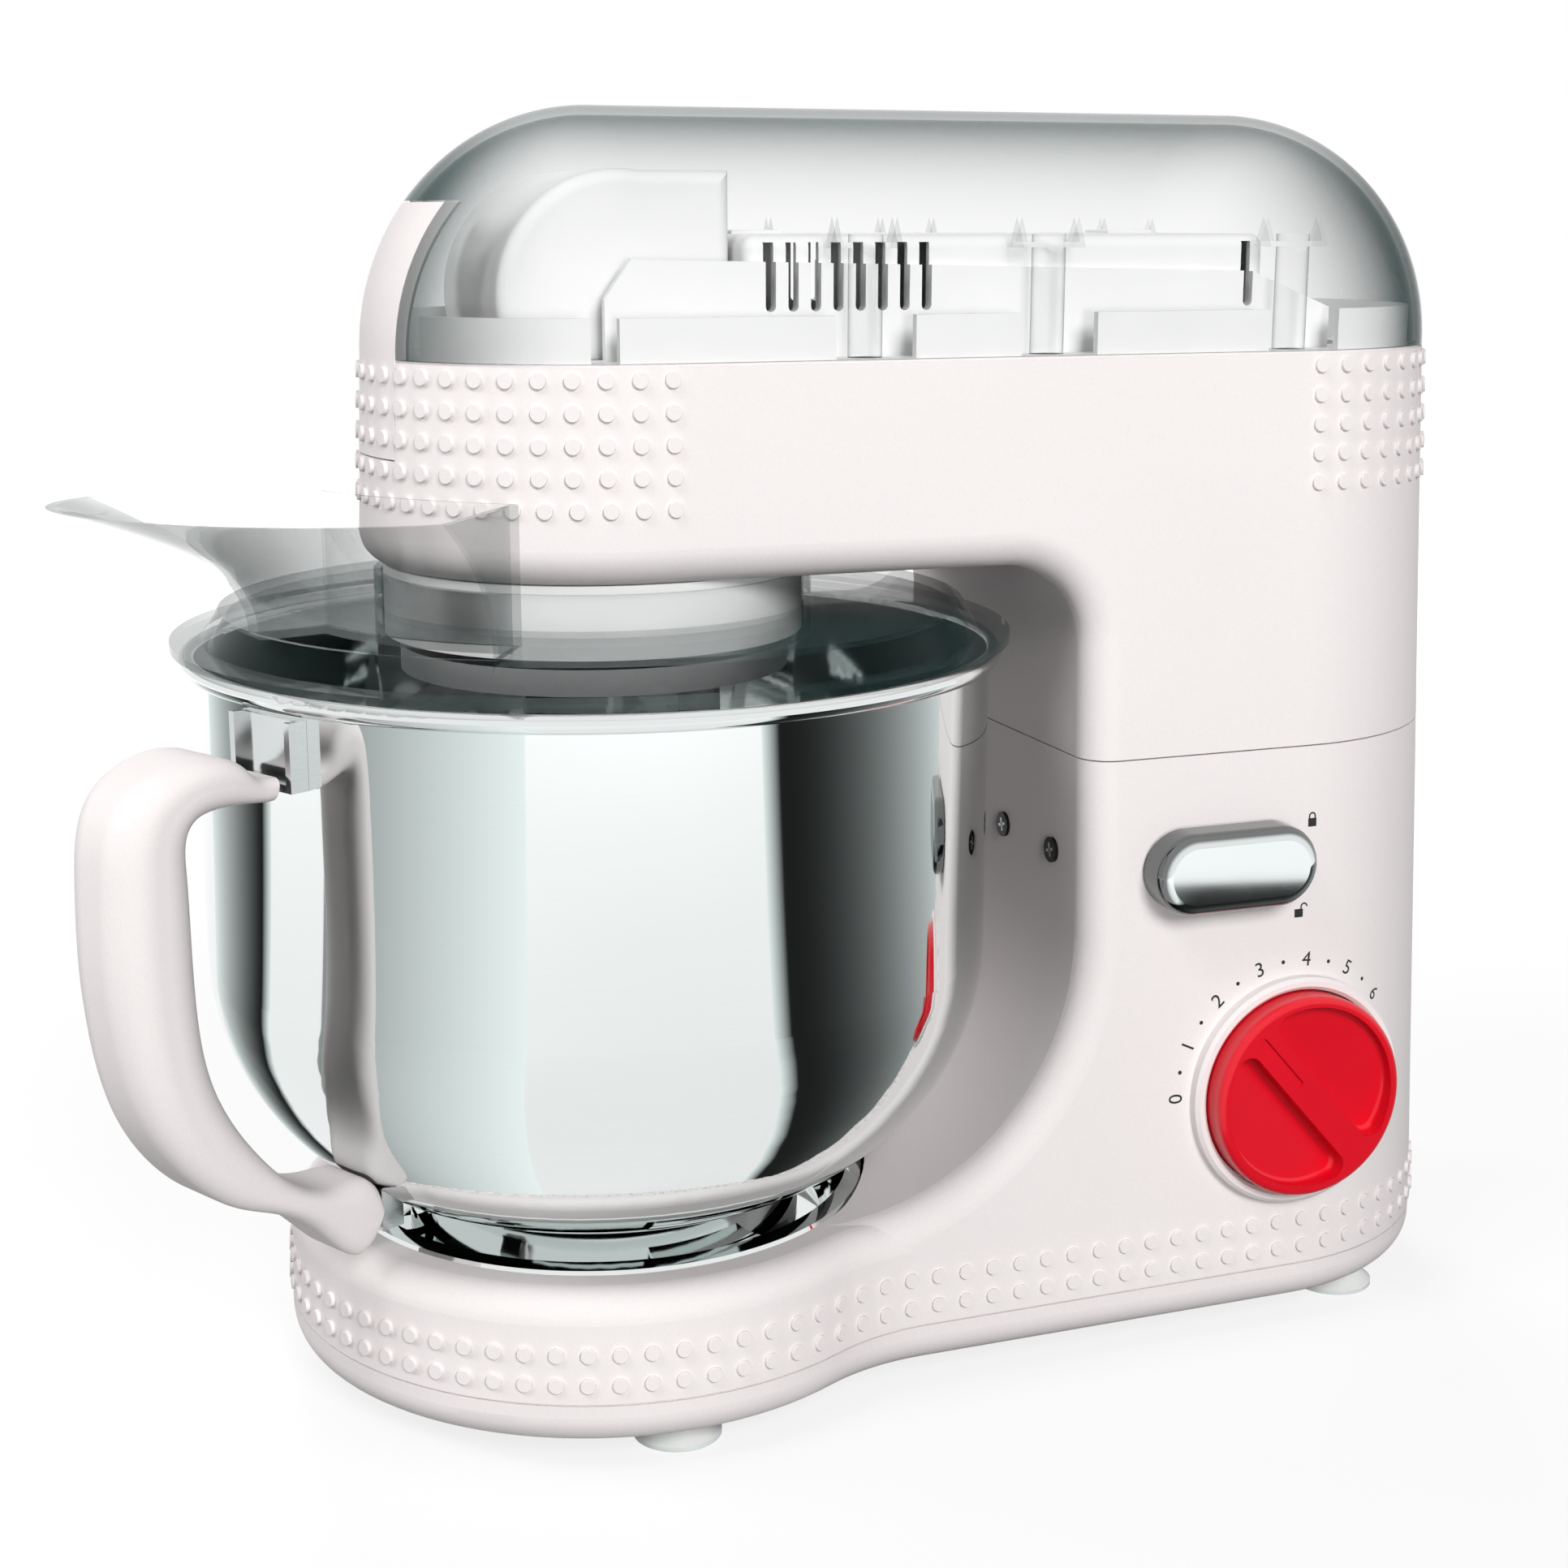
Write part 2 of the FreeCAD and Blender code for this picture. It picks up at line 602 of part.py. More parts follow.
def drill(body, holes):
    """Drill round holes of (x, y, radius) through a padded body."""
    drawing = sketch_on(body, "XY_Plane", f"{body.Label}_holes")
    for index, (x, y, radius) in enumerate(holes):
        draw_circle(drawing, index, x, y, radius)
    cut_through(body, drawing, f"{body.Label}_drilled")


def repeat_round(body, feature, drawing, count):
    """Repeat a feature of a body evenly round Z."""
    pattern = body.newObject("PartDesign::PolarPattern", f"{feature.Name}_pattern")
    pattern.Originals = [feature]
    pattern.Axis = (drawing, ["N_Axis"])
    pattern.Angle = FULL_TURN
    bind(pattern, "Occurrences", count)
    body.Tip = pattern


def outline_across(near, far, half):
    """A rectangle that lies along X between two distances."""
    return [(near, f"-({half})"), (far, f"-({half})"), (far, half), (near, half)]


# Small solids that the formed pieces are cut and built from

def box(low, high):
    size = [b - a for a, b in zip(low, high)]
    return Part.makeBox(*size, Vector(*low))


def cylinder(radius, bottom, top, x=0.0, y=0.0):
    return Part.makeCylinder(radius, top - bottom, Vector(x, y, bottom), UP)


def cross_cylinder(radius, x, z, y_low, y_high):
    return Part.makeCylinder(radius, y_high - y_low, Vector(x, y_low, z), ACROSS)


def ring(outer, inner, bottom, top, x=0.0, y=0.0):
    return cylinder(outer, bottom, top, x, y).cut(cylinder(inner, bottom - 1, top + 1, x, y))


def wire_of(steps):
    """A closed wire from a start point and steps: (point,) is a line, (middle, end) an arc."""
    edges = []
    here = steps[0]
    for step in steps[1:]:
        if len(step) == 1:
            edges.append(Part.LineSegment(here, step[0]).toShape())
        else:
            edges.append(Part.Arc(here, step[0], step[1]).toShape())
        here = step[-1]
    if (here - steps[0]).Length > TINY:
        edges.append(Part.LineSegment(here, steps[0]).toShape())
    return Part.Wire(edges)


def arc_middle(centre, radius, angle):
    """The point of a circle in its own plane, at an angle in degrees."""
    turn = math.radians(angle)
    return (centre[0] + radius * math.cos(turn), centre[1] + radius * math.sin(turn))


def outward(solid):
    """The same solid with its skin facing out."""
    if solid.Volume < 0:
        solid.reverse()
    return solid


def turn_outline(steps, angle=FULL_TURN):
    """Turn an outline of (radius, height) points and arcs about Z."""
    flat = [Vector(steps[0][0], 0, steps[0][1])]
    for step in steps[1:]:
        flat.append(tuple(Vector(r, 0, h) for r, h in step))
    return outward(Part.Face(wire_of(flat)).revolve(Vector(0, 0, 0), UP, angle))


def side_outline(steps, half_width):
    """A slab across the machine from an outline of (x, z) points and arcs."""
    flat = [Vector(steps[0][0], -half_width, steps[0][1])]
    for step in steps[1:]:
        flat.append(tuple(Vector(x, -half_width, z) for x, z in step))
    return Part.Face(wire_of(flat)).extrude(Vector(0, 2 * half_width, 0))


def fused(first, *others):
    return first.fuse(list(others)).removeSplitter()


def edges_where(shape, test):
    return [edge for edge in shape.Edges if test(edge)]


# The drafted housing that base and head are both cut from

DRAFT = (S.base_half_width - S.head_half_width) / (S.dome_line_height - S.seam_height)
DRAFT_ANGLE = math.degrees(math.atan(DRAFT))
WIDE = 2 * S.base_half_width
SLIVER = 0.1


def half_width(height):
    """Half the width of the column and the head at a height."""
    return S.head_half_width + DRAFT * (S.dome_line_height - height)


def width_at(height):
    """The same as a formula of the sheet."""
    return f"(head_half_width + (base_half_width - head_half_width) * (dome_line_height - {height})" \
           f" / (dome_line_height - seam_height))"


def long_round(radius, height):
    """The long plan with two round ends, as a wire at a height."""
    back = S.column_distance
    return wire_of([
        Vector(0, radius, height),
        (Vector(-radius, 0, height), Vector(0, -radius, height)),
        (Vector(back, -radius, height),),
        (Vector(back + radius, 0, height), Vector(back, radius, height)),
    ])


def drafted(inset, low, high):
    """The tapered body with round ends between two heights, drawn in by an inset."""
    wires = [long_round(half_width(z) - inset, z) for z in (low, high)]
    return Part.makeLoft(wires, True, True)


def base_plan(inset, height, closing):
    """The plan of the base: a round front that blends into the sides of the column."""
    front = S.base_front_radius - inset
    side = half_width(height) - inset - SLIVER
    front -= DRAFT * (height - S.seam_height)
    blend = S.waist_radius + inset
    centre_x = math.sqrt((front + blend) ** 2 - (side + blend) ** 2)
    centre = Vector(centre_x, -(side + blend), height)
    touch = Vector(centre_x, -(side + blend), 0) * (front / (front + blend)) + Vector(0, 0, height)
    halfway = math.radians((math.degrees(math.atan2(touch.y - centre.y, touch.x - centre.x)) + 90) / 2)
    hollow = centre + Vector(math.cos(halfway), math.sin(halfway), 0) * blend

    def mirrored(point):
        return Vector(point.x, -point.y, point.z)

    end = Vector(closing, -side, height)
    return wire_of([
        mirrored(end),
        (Vector(centre_x, side, height),),
        (mirrored(hollow), mirrored(touch)),
        (Vector(-front, 0, height), touch),
        (hollow, Vector(centre_x, -side, height)),
        (end,),
    ])


def column_profile(inset, low, high):
    """Side view of base and column: the hollow sweep up to the upright face."""
    face = S.column_face + inset
    centre = (S.column_face - S.sweep_radius, S.base_top + S.sweep_radius)
    radius = S.sweep_radius + inset
    back = S.column_distance + S.base_half_width + 1
    return side_outline([
        (centre[0] - S.edge_radius, low),
        ((centre[0] - S.edge_radius, S.base_top - inset),),
        ((centre[0], S.base_top - inset),),
        (arc_middle(centre, radius, -45), (face, centre[1])),
        ((face, high),),
        ((back, high),),
        ((back, low),),
    ], WIDE)


def is_front_edge(edge):
    """The two long edges between the column's face, its sweep and the sides."""
    middle = edge.CenterOfMass
    inside = S.column_face - S.sweep_radius - 1 < middle.x < S.column_face + 1
    return inside and abs(middle.y) > S.head_half_width - 1 and middle.z > S.base_top - 1


def base_block(inset):
    """Base and column in one rounded block, drawn in by an inset."""
    low = S.seam_height - (1 if inset else 0)
    top = S.split_height - inset
    column = drafted(inset, low, top).common(column_profile(inset, low - 1, top + 1))
    front = Part.makeLoft([
        base_plan(inset, low, S.column_face),
        base_plan(inset, S.base_top - inset, S.column_face),
    ], True, True)
    long_edges = edges_where(column, lambda e: is_front_edge(e) and e.BoundBox.YLength < S.sweep_radius / 2)
    column = column.makeFillet(S.edge_radius - inset, long_edges)

    def on_top(edge):
        span = edge.BoundBox
        level = span.ZLength < NEAR and abs(span.ZMax - S.base_top + inset) < NEAR
        return level and span.XMax < S.column_face - 1
    front = front.makeFillet(S.base_edge_radius - inset, edges_where(front, on_top))
    return fused(column, front)


HINGE_HEIGHT = "split_height + parting_gap / 2"
HINGE_Z = number(HINGE_HEIGHT)
EAR_END = "(hinge_middle_width / 2 + joint_gap + hinge_ear_width)"
EAR_INNER = S.hinge_middle_width / 2 + S.joint_gap
EAR_OUTER = EAR_INNER + S.hinge_ear_width
HOOK_Y = -(half_width(S.lever_height) - S.shell_wall - 12)
HOOK_ROOM = 31
LEVER_BUSH = S.lever_shaft_radius + 3
LEVER_FACE = half_width(S.lever_height - S.lever_length / 2) + S.joint_gap
STRIKE_ARM = S.hook_reach - S.hook_nose - S.strike_radius - S.joint_gap
STRIKE_ROOM = S.hook_arm_width / 2 + S.strike_radius + 2 * S.joint_gap
STRIKE_TURN = math.radians(S.lever_swing) + math.asin(STRIKE_ROOM / STRIKE_ARM)
STRIKE_HALF = S.hook_wall + 3.3
STRIKE_ENDS = (HOOK_Y - STRIKE_HALF, HOOK_Y + STRIKE_HALF)
STRIKE_X = S.lever_x - STRIKE_ARM * math.sin(STRIKE_TURN)
STRIKE_Z = S.lever_height + STRIKE_ARM * math.cos(STRIKE_TURN)
SCREW_RADIUS = 2
SCREW_HEAD_RADIUS = 3.6
SCREW_HEAD_HEIGHT = 2
SCREW_LENGTH = 9
FACE_SCREW_HEIGHT = 145
FACE_SCREW_YS = (-44, -12.5, 12.5, 44)


def base_ears():
    """Two ears on the deck that carry the hinge pin, each with a stem that leans forward."""
    stem_front = S.hinge_x - 2 * S.hinge_ear_radius
    ears = []
    for side in (-1, 1):
        low, high = sorted((side * EAR_INNER, side * EAR_OUTER))
        eye = cross_cylinder(S.hinge_ear_radius, S.hinge_x, HINGE_Z, low, high)
        foot = S.split_height - S.shell_wall - S.hinge_ear_radius
        stem = box((stem_front, low, foot), (S.hinge_x, high, HINGE_Z))
        ears.append(eye.fuse(stem))
    return ears


def base_shell():
    """Moulded base and column, open underneath, with the deck that the head rests on."""
    shell = base_block(0).cut(base_block(S.shell_wall))
    shell = fused(shell, *base_ears())
    ear_room = S.hinge_ear_radius + S.joint_gap
    cuts = [
        cylinder(S.seat_radius - 3, S.seat_floor, S.base_top + 5),
        cylinder(S.seat_radius + S.joint_gap, S.base_top, S.base_top + 10),
        cross_cylinder(S.hinge_pin_radius + S.press_gap, S.hinge_x, HINGE_Z, -EAR_OUTER - 1, EAR_OUTER + 1),
        cross_cylinder(ear_room, S.hinge_x, HINGE_Z, -EAR_INNER, EAR_INNER),
        box((S.lever_x - HOOK_ROOM, HOOK_Y - S.hook_wall, S.split_height - 2 * S.shell_wall),
            (S.lever_x + HOOK_ROOM, HOOK_Y + S.hook_wall, S.split_height + 1)),
        cross_cylinder(LEVER_BUSH + S.press_gap, S.lever_x, S.lever_height, -WIDE, HOOK_Y),
        Part.makeCylinder(S.inlet_radius + S.press_gap, 20,
                          Vector(S.column_distance + S.base_half_width - 10, 0, S.inlet_height), ALONG),
        dial_hole(),
    ]
    for y in FACE_SCREW_YS:
        cuts += screw_solids(y, S.press_gap)
    return formed("base_shell", shell.cut(cuts))


def dial_rotation():
    """Turns a piece's Z to the outward direction of the drafted control side."""
    return Rotation(Vector(1, 0, 0), 90 - DRAFT_ANGLE)


DIAL_Y = "-" + width_at("dial_height")


def dial_hole():
    hole = Part.makeCylinder(S.dial_shaft_radius + S.running_fit, 30, Vector(0, 0, -20), UP)
    hole.Placement = Placement(Vector(S.dial_x, number(DIAL_Y), S.dial_height), dial_rotation())
    return hole


def screw_solids(y, gap):
    """Head and shank of a screw in the column's face."""
    head = Part.makeCylinder(SCREW_HEAD_RADIUS + gap, SCREW_HEAD_HEIGHT,
                             Vector(S.column_face - SCREW_HEAD_HEIGHT / 2, y, FACE_SCREW_HEIGHT), ALONG)
    shank = Part.makeCylinder(SCREW_RADIUS + gap, SCREW_LENGTH,
                              Vector(S.column_face, y, FACE_SCREW_HEIGHT), ALONG)
    return [head, shank]


def face_screws():
    screws = []
    for y in FACE_SCREW_YS:
        head, shank = screw_solids(y, 0)
        screws.append(fused(head, shank))
    return formed("face_screws", Part.makeCompound(screws))


def plate_plan(inset, height):
    """The whole plan of the base, round at both ends."""
    front = Part.Face(base_plan(inset, S.seam_height, S.column_distance))
    side = S.base_half_width - inset - SLIVER
    line = S.seam_height
    centre = S.column_distance
    back = Part.Face(wire_of([
        Vector(S.column_face, side, line),
        (Vector(S.column_face, -side, line),),
        (Vector(centre, -side, line),),
        (Vector(centre + side, 0, line), Vector(centre, side, line)),
    ]))
    plan = front.fuse(back).removeSplitter()
    plan.translate(Vector(0, 0, height - S.seam_height))
    return plan.Faces[0]


def seam_groove(plan, inner_plan):
    """The space of a shadow line round a plan."""
    return plan.cut(inner_plan).extrude(UP * S.seam_groove_height)


def bottom_plate():
    """Tray that closes the base, with a rounded lower edge, a hollow top and a shadow line at the seam."""
    low = S.foot_height
    plate = plate_plan(0, low).extrude(Vector(0, 0, S.seam_height - low))
    rim = edges_where(plate, lambda e: e.BoundBox.ZMax < low + NEAR)
    plate = plate.makeFillet(S.plate_edge_radius, rim)
    hollow = plate_plan(S.plate_edge_radius + S.shell_wall, low + S.shell_wall)
    line = S.seam_height - S.seam_groove_height
    groove = seam_groove(plate_plan(-1, line), plate_plan(S.seam_groove_depth, line))
    return formed("bottom_plate", plate.cut([hollow.extrude(Vector(0, 0, S.seam_height)), groove]))


def foot_places():
    front = [("0", "-foot_front_y"), ("0", "foot_front_y")]
    return front + [("foot_back_x", "-foot_back_y"), ("foot_back_x", "foot_back_y")]


def suction_feet():
    """Four soft feet: a neck under the plate and a flared cup on the table."""
    outline = [
        ("0", "foot_height"),
        ("foot_neck_radius", "foot_height"),
        ("foot_neck_radius", "foot_height * 0.55"),
        ("foot_radius", "foot_lip"),
        ("foot_radius", "0"),
        ("0", "0"),
    ]
    feet = []
    for place_number, (x, y) in enumerate(foot_places(), start=1):
        foot = turned_body(f"foot_{place_number}", outline)
        bind(foot, "Placement.Base.x", x)
        bind(foot, "Placement.Base.y", y)
        feet.append(foot)
    return grouped("suction_feet", feet)


def cord_inlet():
    """Round bush in the back of the base where the mains lead goes in."""
    return turned("cord_inlet", [
        ("inlet_radius / 2", "0"),
        ("inlet_radius + 2.5", "0"),
        ("inlet_radius + 2.5", "2"),
        ("inlet_radius", "2"),
        ("inlet_radius", "shell_wall + 6"),
        ("inlet_radius / 2", "shell_wall + 6"),
    ], x="column_distance - shell_wall - 5 + " + width_at("inlet_height"), z="inlet_height",
        rotation=Rotation(ACROSS, 90))


LUG_TURNS = (0, 120, 240)
BOWL_FOOT_LOW = S.seat_floor + S.seat_wall + 0.3
LUG_LOW = BOWL_FOOT_LOW + S.lug_lift
LUG_TOP = LUG_LOW + S.lug_height


def ring_part(inner, outer, bottom, top, angle, turn):
    """Part of a flat ring, from a turn over an angle."""
    part = turn_outline([(inner, bottom), ((outer, bottom),), ((outer, top),), ((inner, top),)], angle)
    part.rotate(Vector(0, 0, 0), UP, turn)
    return part


def bowl_seat():
    """Bright dished ring let into the base, with tabs over the bowl's bayonet lugs."""
    slope_top = "seat_radius - seat_rim_width"
    slope_foot = f"{slope_top} - seat_slope"
    dish = turned_body("bowl_seat_dish", [
        ("0", "seat_floor"),
        (slope_foot, "seat_floor"),
        (slope_top, "base_top"),
        ("seat_radius", "base_top"),
        ("seat_radius - seat_rim_bevel", "base_top + seat_wall - seat_rim_bevel"),
        (slope_top, "base_top + seat_wall"),
        (f"{slope_foot} - seat_wall", "seat_floor + seat_wall"),
        ("0", "seat_floor + seat_wall"),
    ])
    inner = S.bowl_foot_radius + S.joint_gap
    outer = number(slope_foot) + 2
    low = LUG_TOP + S.joint_gap
    bayonet = DOC.addObject("Part::Feature", "bowl_seat_tabs")
    bayonet.Shape = Part.makeCompound([
        ring_part(inner, outer, low, low + S.tab_height, S.tab_angle, turn + S.handle_angle)
        for turn in LUG_TURNS
    ])
    seat = DOC.addObject("Part::MultiFuse", "bowl_seat")
    seat.Shapes = [dish, bayonet]
    return place(seat)


def bowl_block(wall, top):
    """The space of the bowl, drawn in by a wall, up to a height."""
    turn = S.bowl_turn_radius - wall
    centre = (S.bowl_radius - S.bowl_turn_radius, S.bowl_bottom + S.bowl_turn_radius)
    return turn_outline([
        (0, S.bowl_bottom + wall),
        ((centre[0], S.bowl_bottom + wall),),
        (arc_middle(centre, turn, -45), (centre[0] + turn, centre[1])),
        ((centre[0] + turn, top),),
        ((0, top),),
    ])


def bowl():
    """Polished steel bowl: a flat bottom, a round turn, an upright side and a rolled rim."""
    turn = ("bowl_radius - bowl_turn_radius", "bowl_bottom + bowl_turn_radius")
    roll = ("bowl_radius + bowl_roll_radius - bowl_wall", "bowl_rim_height - bowl_roll_radius")
    body = turned_body("bowl", [
        ("0", "bowl_bottom"),
        (turn[0], "bowl_bottom", *turn),
        ("bowl_radius", turn[1]),
        ("bowl_radius", roll[1]),
        ("bowl_radius - bowl_wall", roll[1]),
        ("bowl_radius - bowl_wall", turn[1], *turn),
        (turn[0], "bowl_bottom + bowl_wall"),
        ("0", "bowl_bottom + bowl_wall"),
    ])
    drawing = sketch_on(body, "XZ_Plane", "bowl_rim")
    draw_circle(drawing, 0, *roll, "bowl_roll_radius")
    turn_drawing(body, drawing, "bowl_rim_turn")
    return place(body)


def bowl_foot():
    """Foot ring under the bowl with three bayonet lugs."""
    radius = S.bowl_foot_radius
    foot = ring(radius, radius - S.bowl_foot_wall, BOWL_FOOT_LOW, S.bowl_bottom + S.bowl_turn_radius / 2)
    start = S.handle_angle + (S.tab_angle - S.lug_angle) / 2
    lugs = [ring_part(radius - 1, radius + S.lug_reach, LUG_LOW, LUG_TOP, S.lug_angle, start + turn)
            for turn in LUG_TURNS]
    return formed("bowl_foot", fused(foot, *lugs).cut(bowl_block(-S.press_gap, S.bowl_rim_height)))


def handle_rotation():
    """Turns a piece drawn along +X to the direction of the handle."""
    return Rotation(UP, 180 + S.handle_angle)


def grip_ring(radius, height, depth, width, slope):
    """One rounded cross section of the grip, square to the run of the bar."""
    flat = Part.makePlane(depth, width, Vector(-depth / 2, -width / 2, 0)).extrude(UP)
    flat = flat.makeFillet(depth * 0.42, edges_where(flat, lambda e: e.BoundBox.ZLength > 0.9))
    outline = min(flat.Faces, key=lambda f: f.CenterOfMass.z).OuterWire
    outline.Placement = Placement(Vector(radius, 0, height), Rotation(ACROSS, 90 + slope))
    return outline


def handle_grip():
    """Soft-coated grip: a rounded bar that thins towards both ends, lofted round two bends."""
    reach = S.grip_reach
    deep = S.grip_depth
    wide = S.grip_width
    drop = S.grip_top - S.grip_low
    upper = [(1, -0.14, 0.26, 0.76, -14), (0.72, -0.02, 0.42, 0.9, -12), (0.36, 0.05, 0.66, 1, 5),
             (0.08, -0.23, 0.9, 1, 52), (0, -0.91, 1, 1, 88)]
    lower = [(0.01, 0.557, 1, 1, 92), (0.097, 0.36, 0.9, 1, 112), (0.355, 0.18, 0.62, 1, 138),
             (0.742, 0.057, 0.56, 0.9, 151), (1, 0, 0.36, 0.76, 155)]
    rings = []
    for run, rise, thick, broad, slope in upper:
        place_on_bar = (reach - run * S.grip_neck, S.grip_top + rise * deep)
        rings.append(grip_ring(*place_on_bar, thick * deep, broad * wide, slope))
    for run, rise, thick, broad, slope in lower:
        place_on_bar = (reach - run * S.grip_tail, S.grip_low + rise * drop)
        rings.append(grip_ring(*place_on_bar, thick * deep, broad * wide, slope))
    grip = outward(Part.makeLoft(rings, True, False))
    grip = grip.cut([
        upper_bracket_solid(S.press_gap),
        lower_bracket_solid(S.press_gap),
        bowl_block(-S.joint_gap, S.bowl_rim_height),
    ])
    return formed("handle_grip", max(grip.Solids, key=lambda s: s.Volume), rotation=handle_rotation())


def upper_bracket_solid(gap):
    """Steel box under the rim: back, two cheeks and a floor with a tongue into the grip."""
    half = S.bracket_width / 2 + gap
    wall = S.bracket_wall
    floor = S.grip_top - 4.2
    top = S.bowl_rim_height - 2 * S.bowl_roll_radius - 1
    front = S.grip_reach - S.grip_neck - S.bracket_wall
    back = S.bowl_radius - 2
    solids = [box((back, -half, floor - gap), (front + gap, half, floor + wall + gap))]
    solids.append(box((back, -half, floor), (S.bowl_radius + wall, half, top)))
    for side in (-1, 1):
        low, high = sorted((side * half, side * (half - wall - 2 * gap)))
        solids.append(box((back, low, floor), (front + gap, high, top)))
    tongue = S.bracket_width * 0.28 + gap
    solids.append(box((back, -tongue, floor - gap), (front + 12 + gap, tongue, floor + wall + gap)))
    return fused(*solids)


def lower_bracket_solid(gap):
    """Steel strip in the grip's lower end, with a pad up to the bowl's turn."""
    half = S.bracket_width * 0.3 + gap
    wall = S.bracket_wall / 2 + gap
    end = S.grip_reach - S.grip_tail
    strip = box((-9, -half, -wall), (14 + gap, half, wall))
    strip.Placement = Placement(Vector(end, 0, S.grip_low), Rotation(ACROSS, -25))
    pad = box((end - 9, -half, S.grip_low - 5), (end - S.bracket_wall, half, S.grip_low + 10))
    return fused(strip, pad)


def bracket(label, solid):
    """A bracket trimmed to the outside of the bowl."""
    trimmed = solid.cut(bowl_block(-S.press_gap, S.bowl_rim_height))
    biggest = max(trimmed.Solids, key=lambda piece: piece.Volume)
    return formed(label, biggest, rotation=handle_rotation())


def dome_block(inset, low):
    """The rounded cover over the long plan: turned ends joined by a straight vault."""
    wide = S.head_half_width - inset
    rise = S.dome_rise - inset
    base = S.dome_line_height
    crown = Vector(0, 0, base + rise)
    side = Vector(0, wide, base)
    axes = (crown, side) if rise > wide else (side, crown)
    quarter = Part.ArcOfEllipse(Part.Ellipse(*axes, Vector(0, 0, base)), 0, math.pi / 2).toShape()
    corners = [crown, Vector(0, 0, low), Vector(0, wide, low)]
    if base - low > TINY:
        corners.append(side)
    lines = [Part.LineSegment(a, b).toShape() for a, b in zip(corners, corners[1:])]
    half = Part.Face(Part.Wire(Part.__sortEdges__([quarter] + lines)))
    front = outward(half.revolve(Vector(0, 0, 0), UP, 180))
    back = front.copy()
    back.rotate(Vector(0, 0, 0), UP, 180)
    back.translate(Vector(S.column_distance, 0, 0))
    run = Vector(S.column_distance, 0, 0)
    near = outward(half.mirror(Vector(0, 0, 0), ACROSS).extrude(run))
    return fused(front, outward(half.extrude(run)), near, back)


def cap_room(gap):
    """The space of the front cap, with a gap round it."""
    half = S.cap_half_width + gap
    return box((-WIDE, -half, S.cap_bottom - gap), (-S.head_half_width / 2, half, S.cap_top + gap))


def post_places():
    side = S.head_half_width - S.post_inset
    return [(x, y) for x in (S.post_front_x, S.post_middle_x, S.post_back_x) for y in (-side, side)]


def dome_posts():
    """Screw posts under the dome, each with a small lintel and two gussets up to the wall."""
    base = S.dome_line_height
    top = base + S.post_height
    half = S.lintel_half
    solids = []
    for x, y in post_places():
        out = ACROSS if y > 0 else ACROSS * -1
        solids.append(cylinder(S.post_radius, base, top + 2, x, y))
        inner = Vector(x, y, top) - out * (S.lintel_depth / 3)
        near, far = sorted((inner.y, (inner + out * S.lintel_depth).y))
        solids.append(box((x - half, near, top - S.lintel_wall), (x + half, far, top)))
        for edge in (-half, half - S.lintel_wall):
            corner = inner + ALONG * edge
            gusset = Part.Face(wire_of([
                corner,
                (corner + out * S.lintel_depth,),
                (corner + out * (S.lintel_depth * 0.6) + UP * S.gusset_height,),
            ]))
            solids.append(gusset.extrude(ALONG * S.lintel_wall))
    return solids


def dome():
    """Clear dome over the drive, with its screw posts, open in front for the cap."""
    base = S.dome_line_height
    shell = dome_block(0, base).cut(dome_block(S.dome_wall, base - 1))
    inside = dome_block(S.dome_wall / 2, base)
    posts = [post.common(inside) for post in dome_posts()]
    return formed("dome", fused(shell, *posts).cut(cap_room(S.parting_gap)))


def front_cap():
    """Opaque cap over the nose, flush with head and dome."""
    room = cap_room(0)

    def skin(inset):
        lower = drafted(inset, S.split_height, S.dome_line_height)
        return fused(lower, dome_block(inset, S.dome_line_height))
    return formed("front_cap", skin(0).common(room).cut(skin(S.cap_wall)))


def head_profile(inset, low, high):
    """Side view of the head: nose, arch over the bowl, upper column and the cut behind the hinge."""
    face = S.column_face + inset
    under = S.head_underside + inset
    centre = (face - S.arch_radius, S.head_underside - S.arch_radius)
    back = S.column_distance + S.base_half_width
    slope = math.tan(math.radians(S.tilt_angle + 1))
    return side_outline([
        (-S.base_half_width, under),
        ((centre[0], under),),
        (arc_middle(centre, S.arch_radius + inset, 45), (face, centre[1])),
        ((face, low),),
        ((S.hinge_x, low),),
        ((back, low + (back - S.hinge_x) * slope),),
        ((back, high),),
        ((-S.base_half_width, high),),
    ], WIDE)


HEAD_LOW = S.split_height + S.parting_gap


def head_block(inset):
    """The head in one rounded block, drawn in by an inset."""
    low = HEAD_LOW + inset
    high = S.dome_line_height + (1 if inset else 0)
    block = drafted(inset, S.split_height - 1, high).common(head_profile(inset, low, high + 1))

    def lower_edge(edge):
        middle = edge.CenterOfMass
        if middle.z > S.head_underside + inset + 1 or middle.z < low + 1:
            return False
        crossing = abs(middle.y) < 1 and middle.x > 0
        return middle.x < S.column_face + inset + 1 and not crossing
    return block.makeFillet(S.edge_radius - inset, edges_where(block, lower_edge))


def ledge():
    """Step inside the head's rim that the deck rests on."""
    top = S.dome_line_height - S.deck_height
    outer = Part.Face(long_round(S.head_half_width - S.shell_wall / 2, top - 3)).extrude(UP * 3)
    inner = Part.Face(long_round(S.head_half_width - S.shell_wall - 5, top - 4)).extrude(UP * 5)
    return outer.cut([inner, cap_room(S.joint_gap)])


